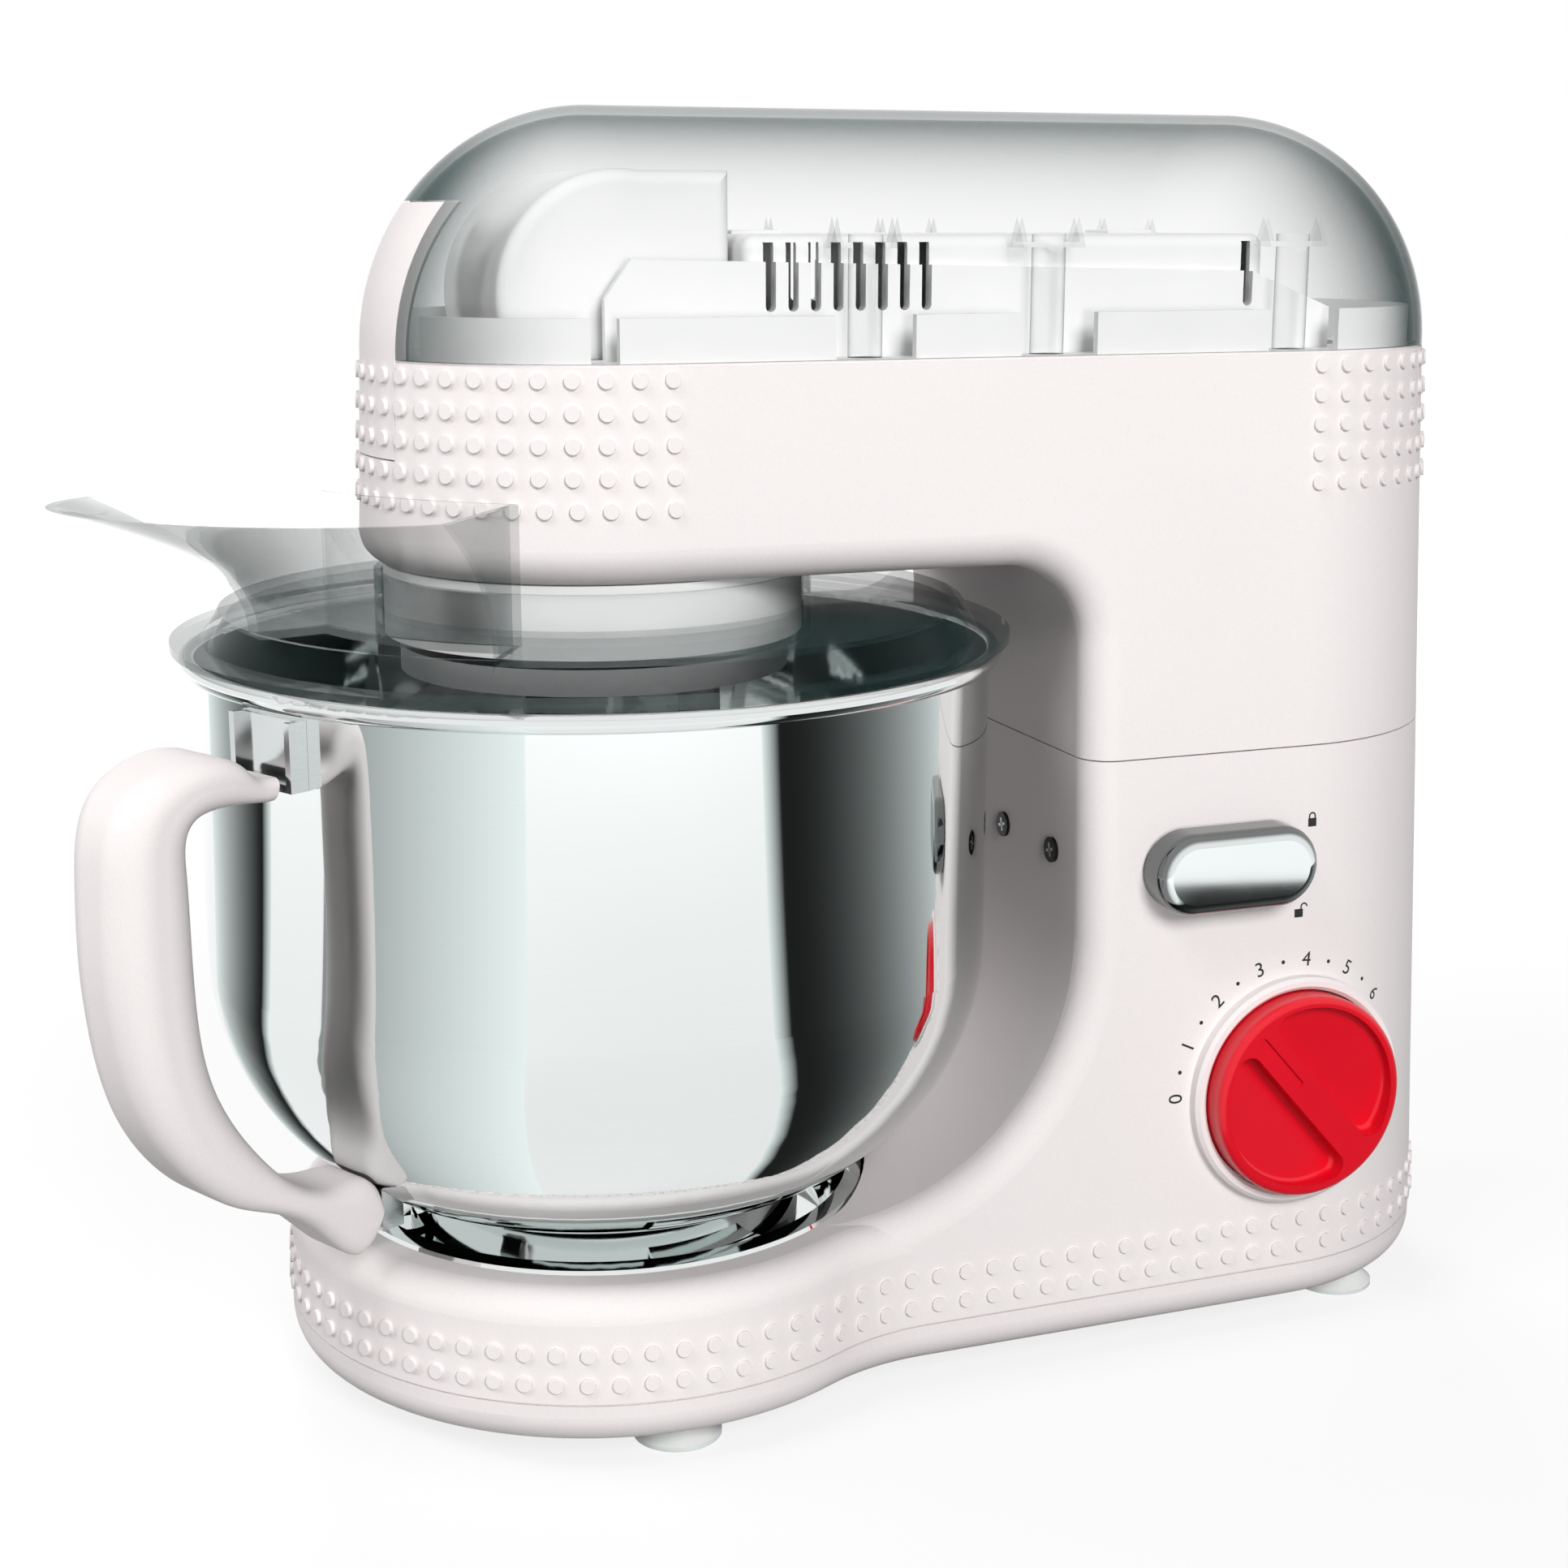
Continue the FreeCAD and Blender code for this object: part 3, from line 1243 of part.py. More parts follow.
def top_deck():
    """Flat deck under the dome, open in the middle, with low locating walls broken at the posts."""
    base = S.dome_line_height
    edge = S.head_half_width - S.cap_wall - S.joint_gap
    low = base - S.deck_height
    band = Part.Face(long_round(edge, low)).extrude(UP * S.deck_height)
    band = band.cut(Part.Face(long_round(S.deck_opening, low - 1)).extrude(UP * (S.deck_height + 2)))
    wall_outer = edge - S.joint_gap
    top = base + S.rim_block_height
    wall = Part.Face(long_round(wall_outer, base)).extrude(UP * S.rim_block_height)
    inside = Part.Face(long_round(wall_outer - S.rim_block_wall, base))
    wall = wall.cut(inside.extrude(UP * S.rim_block_height))
    gaps = [box((x - S.post_gap, -WIDE, base), (x + S.post_gap, WIDE, top + 1))
            for x in (S.post_front_x, S.post_middle_x, S.post_back_x)]
    gaps.append(box((S.cheek_front - S.cheek_corner, -WIDE, base), (S.cheek_front, WIDE, top + 1)))
    gaps.append(box((-WIDE, -S.cap_half_width - 3, base), (0, S.cap_half_width + 3, S.cap_top)))
    return formed("top_deck", fused(band, wall.cut(gaps)))


def head_shell():
    """Moulded head and upper column, open on top, with the hinge ear behind and the strike's lugs."""
    shell = head_block(0).cut(head_block(S.shell_wall))
    ear_half = S.hinge_middle_width / 2
    eye = cross_cylinder(S.hinge_ear_radius, S.hinge_x, HINGE_Z, -ear_half, ear_half)
    arm = box((S.hinge_x - 2 * S.hinge_ear_radius, -ear_half, HINGE_Z + 1),
              (S.hinge_x + 2, ear_half, HINGE_Z + 2 * S.hinge_ear_radius))
    shell = fused(shell, eye.fuse(arm), ledge(), *strike_lugs())
    ear_room = S.hinge_ear_radius + S.joint_gap
    line = S.dome_line_height - S.seam_groove_height
    rim = [Part.Face(long_round(S.head_half_width + step, line)) for step in (1, -S.seam_groove_depth)]
    cuts = [cap_room(S.parting_gap), seam_groove(*rim)]
    for side in (-1, 1):
        low, high = sorted((side * (EAR_INNER - S.joint_gap), side * (EAR_OUTER + S.joint_gap)))
        cuts.append(cross_cylinder(ear_room, S.hinge_x, HINGE_Z, low, high))
    cuts += [
        cross_cylinder(S.hinge_pin_radius + S.running_fit, S.hinge_x, HINGE_Z, -EAR_INNER, EAR_INNER),
        box((S.lever_x - HOOK_ROOM, HOOK_Y - S.hook_wall, HEAD_LOW - 1),
            (S.lever_x + HOOK_ROOM, HOOK_Y + S.hook_wall, HEAD_LOW + S.shell_wall + 1)),
        cross_cylinder(S.strike_radius + S.press_gap, STRIKE_X, STRIKE_Z, *STRIKE_ENDS),
        cylinder(S.main_shaft_radius + S.bush_wall + S.press_gap, S.hub_bottom, S.plate_top),
    ]
    return formed("head_shell", shell.cut(cuts))


def gear_cover():
    """Rounded cover over the gears, seen through the dome."""
    front = S.gear_cover_front
    base = S.dome_line_height
    top = S.gear_cover_top
    curve = top - base

    def block(inset):
        return side_outline([
            (front + inset, base - (inset and 1)),
            (arc_middle((front + curve * 0.72, base), (curve - inset), 128),
             (front + curve * 0.72, top - inset)),
            ((S.motor_cover_front - 1 - inset, top - inset),),
            ((S.motor_cover_front - 1 - inset, base - (inset and 1)),),
        ], S.gear_cover_half_width - inset)
    outer = block(0)
    crown = edges_where(outer, lambda e: e.CenterOfMass.z > base + 5 and e.BoundBox.YLength < 1)
    outer = outer.makeFillet(S.cover_edge_radius, crown)
    return formed("gear_cover", outer.cut(block(S.cover_wall)))


def vent(x, side):
    """A vent through one side of the cover and its panel, with a round lower end."""
    half = S.vent_width / 2
    low = S.dome_line_height + S.vent_low
    near, far = sorted((side * (S.motor_cover_half_width - 2 * S.cover_wall), side * WIDE))
    slot = box((x - half, near, low), (x + half, far, S.motor_cover_top - S.cover_wall))
    return slot.fuse(cross_cylinder(half, x, low, near, far))


def cover_pad(x):
    """Low rounded pad on top of the motor cover."""
    half = S.cover_pad_length / 2
    top = S.motor_cover_top
    pad = box((x - half, -half, top - SLIVER), (x + half, half, top + S.cover_pad_height))
    return pad.makeFillet(S.cover_pad_height / 2, edges_where(pad, lambda e: e.BoundBox.ZMin > top))


def cover_cheek(low, high):
    """Side panel beside the covers, with slanted ends and a top that falls towards the back."""
    base = S.dome_line_height
    top = base + S.cheek_rise
    outline = wire_of([
        Vector(S.cheek_front, low, base),
        (Vector(S.cheek_front, low, top - 1.4 * S.cheek_corner),),
        (Vector(S.cheek_front + S.cheek_corner, low, top),),
        (Vector(S.cheek_back - S.cheek_tail, low, top - S.cheek_fall),),
        (Vector(S.cheek_back, low, top - S.cheek_fall - S.cheek_tail * 0.4),),
        (Vector(S.cheek_back, low, base),),
    ])
    return Part.Face(outline).extrude(ACROSS * (high - low))


def motor_cover():
    """Long cover over belt and motor, with a row of vents in each side, one behind, and side panels."""
    base = S.dome_line_height
    wide = S.motor_cover_half_width

    def block(inset):
        low = base - (1 if inset else 0)
        return box((S.motor_cover_front + inset, inset - wide, low),
                   (S.motor_cover_back - inset, wide - inset, S.motor_cover_top - inset))
    outer = block(0)
    rounded = edges_where(outer, lambda e: e.CenterOfMass.z > base + 1)
    cover = outer.makeFillet(S.cover_edge_radius, rounded).cut(block(S.cover_wall))
    lap = S.cover_wall / 4
    cheeks = [cover_cheek(wide - lap, wide + S.cover_wall), cover_cheek(-wide - S.cover_wall, lap - wide)]
    pads = [cover_pad(S.cover_pad_front_x), cover_pad(S.cover_pad_back_x)]
    cover = fused(cover, *cheeks, *pads)
    first = S.motor_cover_front + S.vent_pitch
    places = [first + step * S.vent_pitch for step in range(int(S.vent_count))]
    places.append(S.motor_cover_back - S.vent_pitch)
    return formed("motor_cover", cover.cut([vent(x, side) for x in places for side in (-1, 1)]))


# Splash guard and chute

def splash_guard():
    """Clear guard: brim over the bowl's rim, step, flat top, collar and the chute's opening."""
    low = "bowl_rim_height + guard_lift"
    collar = "hub_radius + collar_play"
    turned_guard = turned_body("splash_guard_turned", [
        ("guard_radius", low),
        ("guard_radius", f"{low} + guard_wall"),
        ("guard_radius - guard_brim + guard_wall", f"{low} + guard_wall"),
        ("guard_radius - guard_brim - guard_lean", "guard_top"),
        (f"{collar} + guard_wall", "guard_top"),
        (f"{collar} + guard_wall", "guard_top + collar_height"),
        (collar, "guard_top + collar_height"),
        (collar, "guard_top - guard_wall"),
        ("guard_radius - guard_brim - guard_lean - guard_wall", "guard_top - guard_wall"),
        ("guard_radius - guard_brim", low),
    ])
    mouth = DOC.addObject("Part::Feature", "splash_guard_mouth")
    opening = Part.Face(chute_section(0, S.chute_wall)).extrude(UP * -20)
    opening.translate(UP * 10)
    mouth.Shape = opening
    return cut_from("splash_guard", [turned_guard], [mouth], rotation=Rotation(UP, 180 + S.chute_angle))


def chute_section(share, inset):
    """Plan of the chute at a share of its height, drawn along +X: round inner wall, flared front."""
    inner = S.chute_inner_radius + inset
    spread = share ** 2.1
    front = S.chute_foot_radius + (S.chute_lip_radius - S.chute_foot_radius) * spread - inset
    foot_corner = S.chute_foot_radius - 1
    corner_radius = foot_corner + (S.chute_corner_radius - foot_corner) * spread - inset
    tilt = S.chute_lip_rise * share / (S.chute_lip_radius - S.chute_inner_radius)
    level = S.guard_top + S.chute_height * share

    def point(radius, angle):
        turn = math.radians(angle)
        u = radius * math.cos(turn)
        return Vector(u, radius * math.sin(turn), level + tilt * (u - S.chute_inner_radius))
    side_in = math.degrees(inset / inner)
    side_out = math.degrees(inset / corner_radius)
    return wire_of([
        point(inner, S.chute_half_angle - side_in),
        (point(inner, 0), point(inner, -(S.chute_half_angle - side_in))),
        (point(corner_radius, -(S.chute_half_angle - side_out)),),
        (point(front, 0), point(corner_radius, S.chute_half_angle - side_out)),
    ])


def pouring_chute():
    """Clear chute that stands on the guard and flares out to a lip."""
    shares = (0, 0.3, 0.55, 0.8, 1)
    outer = Part.makeLoft([chute_section(share, 0) for share in shares], True, False)
    inner = Part.makeLoft([chute_section(share, S.chute_wall) for share in shares], True, False)
    return formed("pouring_chute", outer.cut(inner), rotation=Rotation(UP, 180 + S.chute_angle))


# Controls

POINTER_ANGLE = 131
DIAL_SOCKET = 8
SWITCH_END = "column_distance - dial_x"


def dial_pieces():
    """Raised ring, knob, shaft and switch on one axis, square to the control side."""
    where = dict(x="dial_x", y=DIAL_Y, z="dial_height", rotation=dial_rotation())
    inner = S.knob_radius + S.joint_gap
    skirt = turn_outline([
        (inner, -12),
        ((S.dial_ring_radius, -12),),
        ((S.dial_ring_radius, S.dial_ring_height - 1),),
        ((S.dial_ring_radius - 1, S.dial_ring_height),),
        ((inner + 1, S.dial_ring_height),),
        ((inner, S.dial_ring_height - 1),),
    ])
    skirt.Placement = Placement(Vector(S.dial_x, number(DIAL_Y), S.dial_height), dial_rotation())
    formed("dial_ring", skirt.cut(drafted(0, S.seam_height, S.split_height)))
    formed("dial_knob", knob_solid(), **where)
    turned("dial_shaft", [
        ("0", "-shell_wall - 11"),
        ("dial_shaft_radius", "-shell_wall - 11"),
        ("dial_shaft_radius", f"{DIAL_SOCKET}"),
        ("0", f"{DIAL_SOCKET}"),
    ], **where)
    case = slab("switch_case", ("-15", "-13", "-shell_wall - 18"), (SWITCH_END, "13", "-shell_wall"))
    bore = drum("switch_bore", "dial_shaft_radius + running_fit", "-shell_wall - 12", "1")
    cut_from("speed_switch", [case], [bore], **where)


def knob_scoop(low, top):
    """Half-round scoop beside the bar: rounded corners and a floor that rises towards the rim."""
    reach = S.knob_radius - S.knob_rim
    half = S.knob_bar_width / 2
    scoop = cylinder(reach, low, top + 1).common(box((-reach, half, low), (reach, reach, top + 1)))
    corners = edges_where(scoop, lambda e: e.BoundBox.ZLength > 1 and abs(e.CenterOfMass.y - half) < NEAR)
    scoop = scoop.makeFillet(S.knob_corner_radius, corners)
    deep = low + S.knob_floor
    floor = Part.Face(wire_of([
        Vector(-reach - 1, half - 1, low - 1),
        (Vector(-reach - 1, reach + 1, low - 1),),
        (Vector(-reach - 1, reach + 1, deep + S.knob_scoop_rise),),
        (Vector(-reach - 1, half - 1, deep),),
    ])).extrude(ALONG * (2 * reach + 2))
    scoop = scoop.cut(floor)
    lower = edges_where(scoop, lambda e: e.BoundBox.ZMax < deep + S.knob_scoop_rise + NEAR)
    return scoop.makeFillet(S.knob_floor / 2, lower)


def knob_solid():
    """Red knob: a rim, two scoops, and a grip bar across the middle with a pointer slot."""
    low = S.knob_lift
    top = low + S.knob_height
    knob = cylinder(S.knob_radius, low, top)
    knob = knob.makeFillet(S.knob_edge_radius, edges_where(knob, lambda e: e.BoundBox.ZMin > top - NEAR))
    near = knob_scoop(low, top)
    far = near.copy()
    far.rotate(Vector(0, 0, 0), UP, 180)
    half = S.knob_slot_width / 2
    deep = top - S.knob_slot_depth
    ends = (S.knob_slot_start, S.knob_slot_end)
    slot = fused(box((ends[0], -half, deep), (ends[1], half, top + 1)),
                 *[cylinder(half, deep, top + 1, end) for end in ends])
    hollows = [near, far, slot]
    for hollow in hollows:
        hollow.rotate(Vector(0, 0, 0), UP, POINTER_ANGLE)
    return knob.cut([*hollows, cylinder(S.dial_shaft_radius + S.press_gap, 0, DIAL_SOCKET)])


def lever_pill():
    """The lever's body: a pill with a rounded front edge."""
    run = "(lever_length - lever_width) / 2"
    half = "lever_width / 2"
    body = padded_body("lever_pill", [
        (run, f"-{half}", run, "0"),
        (run, half),
        (f"-{run}", half, f"-{run}", "0"),
        (f"-{run}", f"-{half}"),
    ], "lever_depth")
    round_edges(body, "lever_edge_radius", lambda edge: edge.BoundBox.ZMin > S.lever_depth - NEAR)
    return body


def lever_pieces():
    """Lock lever on the control side: pill, shaft, bush in the wall and the hook inside."""
    where = dict(x="lever_x", y=f"{-LEVER_FACE}", z="lever_height", rotation=Rotation(ALONG, 90))
    socket = drum("lever_socket", "lever_shaft_radius + press_gap", "-1", "lever_socket_depth")
    cut_from("lever_knob", [lever_pill()], [socket], **where)
    shaft_ends = (f"{-LEVER_FACE} - lever_socket_depth", f"{HOOK_Y} + hook_wall")
    axle("lever_shaft", "lever_shaft_radius", *shaft_ends, "lever_x", "lever_height")
    wall_face = LEVER_FACE - half_width(S.lever_height + LEVER_BUSH)
    turned("lever_bush", bush_outline(
        "lever_shaft_radius + running_fit",
        f"{LEVER_BUSH}",
        f"{-wall_face - 4} - shell_wall",
        f"{-wall_face - 0.2}",
    ), **where)
    formed("latch_hook", hook_solid())


def hook_solid():
    """Flat hook on the lever shaft: an arm that rises into the head and a nose on a circle."""
    low = HOOK_Y - S.hook_wall / 2
    high = HOOK_Y + S.hook_wall / 2
    x, z = S.lever_x, S.lever_height

    def disc(radius):
        return cross_cylinder(radius, x, z, low, high)
    nose = disc(S.hook_reach).cut(disc(S.hook_reach - S.hook_nose))
    reach = S.hook_reach + 1
    lean = STRIKE_TURN - math.radians(S.lever_swing) + S.strike_radius / STRIKE_ARM
    half = S.hook_arm_width / 2
    wedge = Part.Face(wire_of([
        Vector(x, low, z),
        (Vector(x + half, low, z + reach),),
        (Vector(x - reach * math.sin(lean), low, z + reach * math.cos(lean)),),
    ])).extrude(ACROSS * S.hook_wall)
    arm = box((x - half, low, z), (x + half, high, z + S.hook_reach - S.hook_nose / 2))
    hook = fused(disc(2 * S.lever_shaft_radius), arm, nose.common(wedge))
    return hook.cut(cross_cylinder(S.lever_shaft_radius + S.press_gap, x, z, low - 1, high + 1))


def strike_lugs():
    """Two lugs on the head's floor that hold the strike pin."""
    lugs = []
    for side in (-1, 1):
        low, high = sorted((HOOK_Y + side * (STRIKE_HALF - 3), HOOK_Y + side * STRIKE_HALF))
        lugs.append(box((STRIKE_X - 5, low, HEAD_LOW + 1), (STRIKE_X + 5, high, STRIKE_Z + 5)))
    return lugs


def strike_pin():
    low, high = STRIKE_ENDS
    return axle("strike_pin", "strike_radius", f"{low}", f"{high}", f"{STRIKE_X}", f"{STRIKE_Z}")


def hinge_pin():
    return axle("hinge_pin", "hinge_pin_radius", f"-{EAR_END}", EAR_END, "hinge_x", HINGE_HEIGHT)


# Gears

PRESSURE = math.radians(20)
TIP_SHARE = 0.85
ROOT_SHARE = 1.2


def involute(angle):
    return math.tan(angle) - angle


def gear_blank(teeth, tip_share, root_share, thinning, height):
    """Solid gear about Z with one tooth on +X; each flank is an arc through three involute points."""
    pitch = S.tooth_module * teeth / 2
    base = pitch * math.cos(PRESSURE)
    tip = pitch + tip_share * S.tooth_module
    root = pitch - root_share * S.tooth_module
    middle = math.pi / (2 * teeth) - thinning / (2 * pitch) + involute(PRESSURE)

    def half_angle(radius):
        return middle - involute(math.acos(min(1, base / radius)))

    def point(radius, angle):
        return Vector(radius * math.cos(angle), radius * math.sin(angle), 0)
    start = max(base, root)
    halfway = (start + tip) / 2
    steps = [point(root, -half_angle(start))]
    for tooth in range(teeth):
        at = tooth * 2 * math.pi / teeth
        following = at + 2 * math.pi / teeth
        if start > root:
            steps.append((point(start, at - half_angle(start)),))
        steps.append((point(halfway, at - half_angle(halfway)), point(tip, at - half_angle(tip))))
        steps.append((point(tip, at + half_angle(tip)),))
        steps.append((point(halfway, at + half_angle(halfway)), point(start, at + half_angle(start))))
        if start > root:
            steps.append((point(root, at + half_angle(start)),))
        if tooth < teeth - 1:
            steps.append((point(root, following - half_angle(start)),))
    return Part.Face(wire_of(steps)).extrude(UP * height)


def gear(teeth, bore, height, turn=0.0):
    blank = gear_blank(int(teeth), TIP_SHARE, ROOT_SHARE, S.tooth_backlash, height)
    blank.rotate(Vector(0, 0, 0), UP, turn)
    return blank.cut(cylinder(bore + S.press_gap, -1, height + 1))


# Drive in the head


def hub_ring():
    """White ring under the head: holds the ring gear, and the guard's collar turns round it."""
    return turned("hub_ring", [
        ("hub_radius", "hub_bottom"),
        ("hub_radius", "head_underside"),
        ("main_shaft_radius + bush_wall + joint_gap", "head_underside"),
        ("main_shaft_radius + bush_wall + joint_gap", "head_underside - 4"),
        ("ring_gear_radius + press_gap", "head_underside - 4"),
        ("ring_gear_radius + press_gap", "hub_bottom"),
    ])


def ring_gear():
    """Fixed ring gear inside the hub ring; its spaces are the planet's teeth with some room."""
    height = S.ring_gear_height
    spaces = gear_blank(int(S.ring_teeth), ROOT_SHARE, TIP_SHARE, -S.tooth_backlash, height + 2)
    spaces.translate(UP * -1)
    return formed("ring_gear", cylinder(S.ring_gear_radius, 0, height).cut(spaces), z="ring_low")


def planetary_pieces():
    """Main shaft, main gear, carrier and the planet's bush, which all turn together."""
    rod("main_shaft", "main_shaft_radius", "carrier_low", "bridge_top + 2")
    formed("main_gear", gear(S.main_teeth, S.main_shaft_radius, S.main_gear_height), z="plate_top + 3")
    boss = ("carrier_low - carrier_boss_lift", "carrier_top + carrier_boss_lift")
    boss_radius = "planet_bush_radius + carrier_boss_wall"
    cut_from("planet_carrier", [
        drum("carrier_disc", "carrier_radius", "carrier_low", "carrier_top"),
        drum("carrier_hub", "2 * main_shaft_radius", "carrier_low", boss[1]),
        drum("carrier_boss", boss_radius, *boss, "planet_place"),
    ], [
        drum("carrier_bore", "main_shaft_radius + press_gap", *boss),
        drum("carrier_bush_bore", "planet_bush_radius + press_gap", *boss, "planet_place"),
    ])
    section = bush_outline("planet_shaft_radius + running_fit", "planet_bush_radius", *boss)
    turned("planet_bush", section, x="planet_place")


def beater_pieces():
    """Planet pinion, beater shaft with its cross pin, and the flat beater hung on it."""
    where = dict(x="planet_place")
    reach = ("-planet_shaft_radius - 4", "planet_shaft_radius + 4")
    cut_from("beater_shaft", [
        drum("beater_rod", "planet_shaft_radius", "beater_top - 8", "ring_low + ring_gear_height + 1"),
    ], [
        cross_drum("beater_pin_hole", "cross_pin_radius + press_gap", *reach, "0", "pin_height"),
    ], **where)
    axle("cross_pin", "cross_pin_radius", *reach, "planet_place", "pin_height")
    pinion = gear(S.planet_teeth, S.planet_shaft_radius, S.ring_gear_height - 1.5)
    formed("planet_pinion", pinion, x="planet_place", z="ring_low + 0.7")
    formed("beater", beater_solid(), **where)


def beater_solid():
    """Flat cast beater: a leaf-shaped frame with a stem, slanted ribs and a sleeve on the shaft."""
    half = S.beater_thickness / 2
    wide = S.beater_half_width
    low = S.beater_bottom
    shoulder = S.beater_top - 14
    foot = wide * 0.6

    def at(y, z):
        return Vector(-half, y, z)
    outline = wire_of([
        at(-10, S.beater_top),
        (at(10, S.beater_top),),
        (at(wide * 0.8, shoulder),),
        (at(wide, low + 50), at(foot, low + 6)),
        (at(0, low), at(-foot, low + 6)),
        (at(-wide, low + 50), at(-wide * 0.8, shoulder)),
    ])
    plate = Part.Face(outline)
    window = plate.makeOffset2D(-S.beater_bar)
    thick = ALONG * S.beater_thickness
    opening = window.extrude(thick)
    stem = box((-half - 1, -S.beater_bar / 2, low), (half + 1, S.beater_bar / 2, S.beater_top))
    ribs = [stem]
    for side in (-1, 1):
        rib = box((-half - 1, 0, -S.beater_bar / 3), (half + 1, wide + 20, S.beater_bar / 3))
        rib.rotate(Vector(0, 0, 0), ALONG, 24)
        rib.translate(Vector(0, 0, low + 38))
        ribs.append(rib if side > 0 else rib.mirror(Vector(0, 0, 0), ACROSS))
    frame = plate.extrude(thick).cut(opening.cut(ribs))
    sleeve_top = S.pin_height - S.cross_pin_radius - S.press_gap
    sleeve = cylinder(S.planet_shaft_radius + 4, S.beater_top - 22, sleeve_top)
    bore = cylinder(S.planet_shaft_radius + S.press_gap, S.beater_top - 8, sleeve_top + 1)
    return fused(frame, sleeve).cut(bore)


def gear_plate():
    """Flat plate on the head's floor that carries the bushes and the bridge's pillars."""
    body = padded_body("gear_plate", [
        ("-gear_plate_front", "-gear_plate_half_width"),
        ("gear_plate_back", "-gear_plate_half_width"),
        ("gear_plate_back", "gear_plate_half_width"),
        ("-gear_plate_front", "gear_plate_half_width"),
    ], "gear_plate_height")
    round_edges(body, "gear_plate_corner", is_upright)
    drill(body, [
        ("0", "0", "main_shaft_radius + bush_wall + press_gap"),
        ("lay_place", "0", "lay_shaft_radius + bush_wall + press_gap"),
    ])
    return place(body, z="head_floor")


def gear_bridge():
    """Cross-shaped bridge over the gears on two pillars."""
    beam = "bridge_beam_half"
    wide = "gear_plate_half_width"
    middle = "bridge_bar_front + bridge_bar_width / 2"
    solids = [
        slab("bridge_bar", ("bridge_bar_front", f"-{wide}", "bridge_low"),
             ("bridge_bar_front + bridge_bar_width", wide, "bridge_top")),
        slab("bridge_beam", (f"-{beam}", f"-{beam}", "bridge_low"),
             (f"lay_place + {beam}", beam, "bridge_top")),
        drum("bridge_near_pillar", "pillar_radius", "plate_top", "bridge_top", middle, "-pillar_y"),
        drum("bridge_far_pillar", "pillar_radius", "plate_top", "bridge_top", middle, "pillar_y"),
    ]
    through = ("bridge_low - 1", "bridge_top + 1")
    return cut_from("gear_bridge", solids, [
        drum("bridge_main_bore", "main_shaft_radius + bush_wall + press_gap", *through),
        drum("bridge_lay_bore", "lay_shaft_radius + bush_wall + press_gap", *through, "lay_place"),
    ])


def shaft_bushes(label, shaft_radius, x, lower_bottom):
    """The pair of bushes of one upright shaft, in gear plate and bridge."""
    fit = (f"{shaft_radius} + running_fit", f"{shaft_radius} + bush_wall")
    return grouped(label, [
        bush(f"{label}_lower", *fit, lower_bottom, "plate_top + 1", x),
        bush(f"{label}_upper", *fit, "bridge_low - 1", "bridge_top + 1", x),
    ])


def layshaft_pieces():
    """Layshaft with its pinion below and the large pulley on top."""
    rod("layshaft", "lay_shaft_radius", "head_floor + joint_gap", "shaft_top", x="lay_place")
    height = S.main_gear_height + 2
    half_pitch = 180 / S.lay_teeth
    formed("lay_pinion", gear(S.lay_teeth, S.lay_shaft_radius, height, 180 + half_pitch),
           x="lay_place", z="plate_top + 2")
    turned("large_pulley", [
        ("lay_shaft_radius + press_gap", "0"),
        ("pulley_radius + 1.5", "0"),
        ("pulley_radius", "1"),
        ("pulley_radius", "pulley_height - 1"),
        ("pulley_radius + 1.5", "pulley_height"),
        ("pulley_radius - 6", "pulley_height"),
        ("pulley_radius - 6", "4"),
        ("lay_shaft_radius + 6", "4"),
        ("lay_shaft_radius + 6", "pulley_height"),
        ("lay_shaft_radius + press_gap", "pulley_height"),
    ], x="lay_place", z="pulley_low")


def belt_loop(grow, low, high):
    """The space inside the belt: the hull of both pulleys, grown by an amount."""
    first = S.pulley_radius + grow
    second = S.motor_pulley_radius + grow
    start = S.lay_place
    run = S.motor_x - start
    lean = math.asin((first - second) / run)
    lift = Vector(math.sin(lean), math.cos(lean), 0)
    a = Vector(start, 0, low)
    b = Vector(S.motor_x, 0, low)

    def flip(v):
        return Vector(v.x, -v.y, v.z)
    return Part.Face(wire_of([
        a + lift * first,
        (a + Vector(-first, 0, 0), flip(a + lift * first)),
        (flip(b + lift * second),),
        (b + Vector(second, 0, 0), b + lift * second),
    ])).extrude(UP * (high - low))


def drive_belt():
    low = S.pulley_low + 2
    high = S.pulley_low + S.pulley_height - 2
    outer = belt_loop(S.belt_gap + S.belt_thickness, low, high)
    return formed("drive_belt", outer.cut(belt_loop(S.belt_gap, low - 1, high + 1)))


# Motor in the upper column


def corners(reach):
    """Four places round the motor's axis."""
    return [(f"motor_x + ({a}) * {reach}", f"({b}) * {reach}") for a in (-1, 1) for b in (-1, 1)]


def uprights(name, radius, reach, bottom, top):
    """Four like posts round the motor's axis."""
    places = enumerate(corners(reach), start=1)
    return [drum(f"{name}_{count}", radius, bottom, top, x, y) for count, (x, y) in places]


def beside_motor(name, half, near, far, bottom, top):
    """Two like blocks on both sides of the motor's axis."""
    span = (f"motor_x - {half}", f"motor_x + {half}")
    return [
        slab(f"{name}_near", (span[0], f"-({far})", bottom), (span[1], f"-({near})", top)),
        slab(f"{name}_far", (span[0], near, bottom), (span[1], far, top)),
    ]


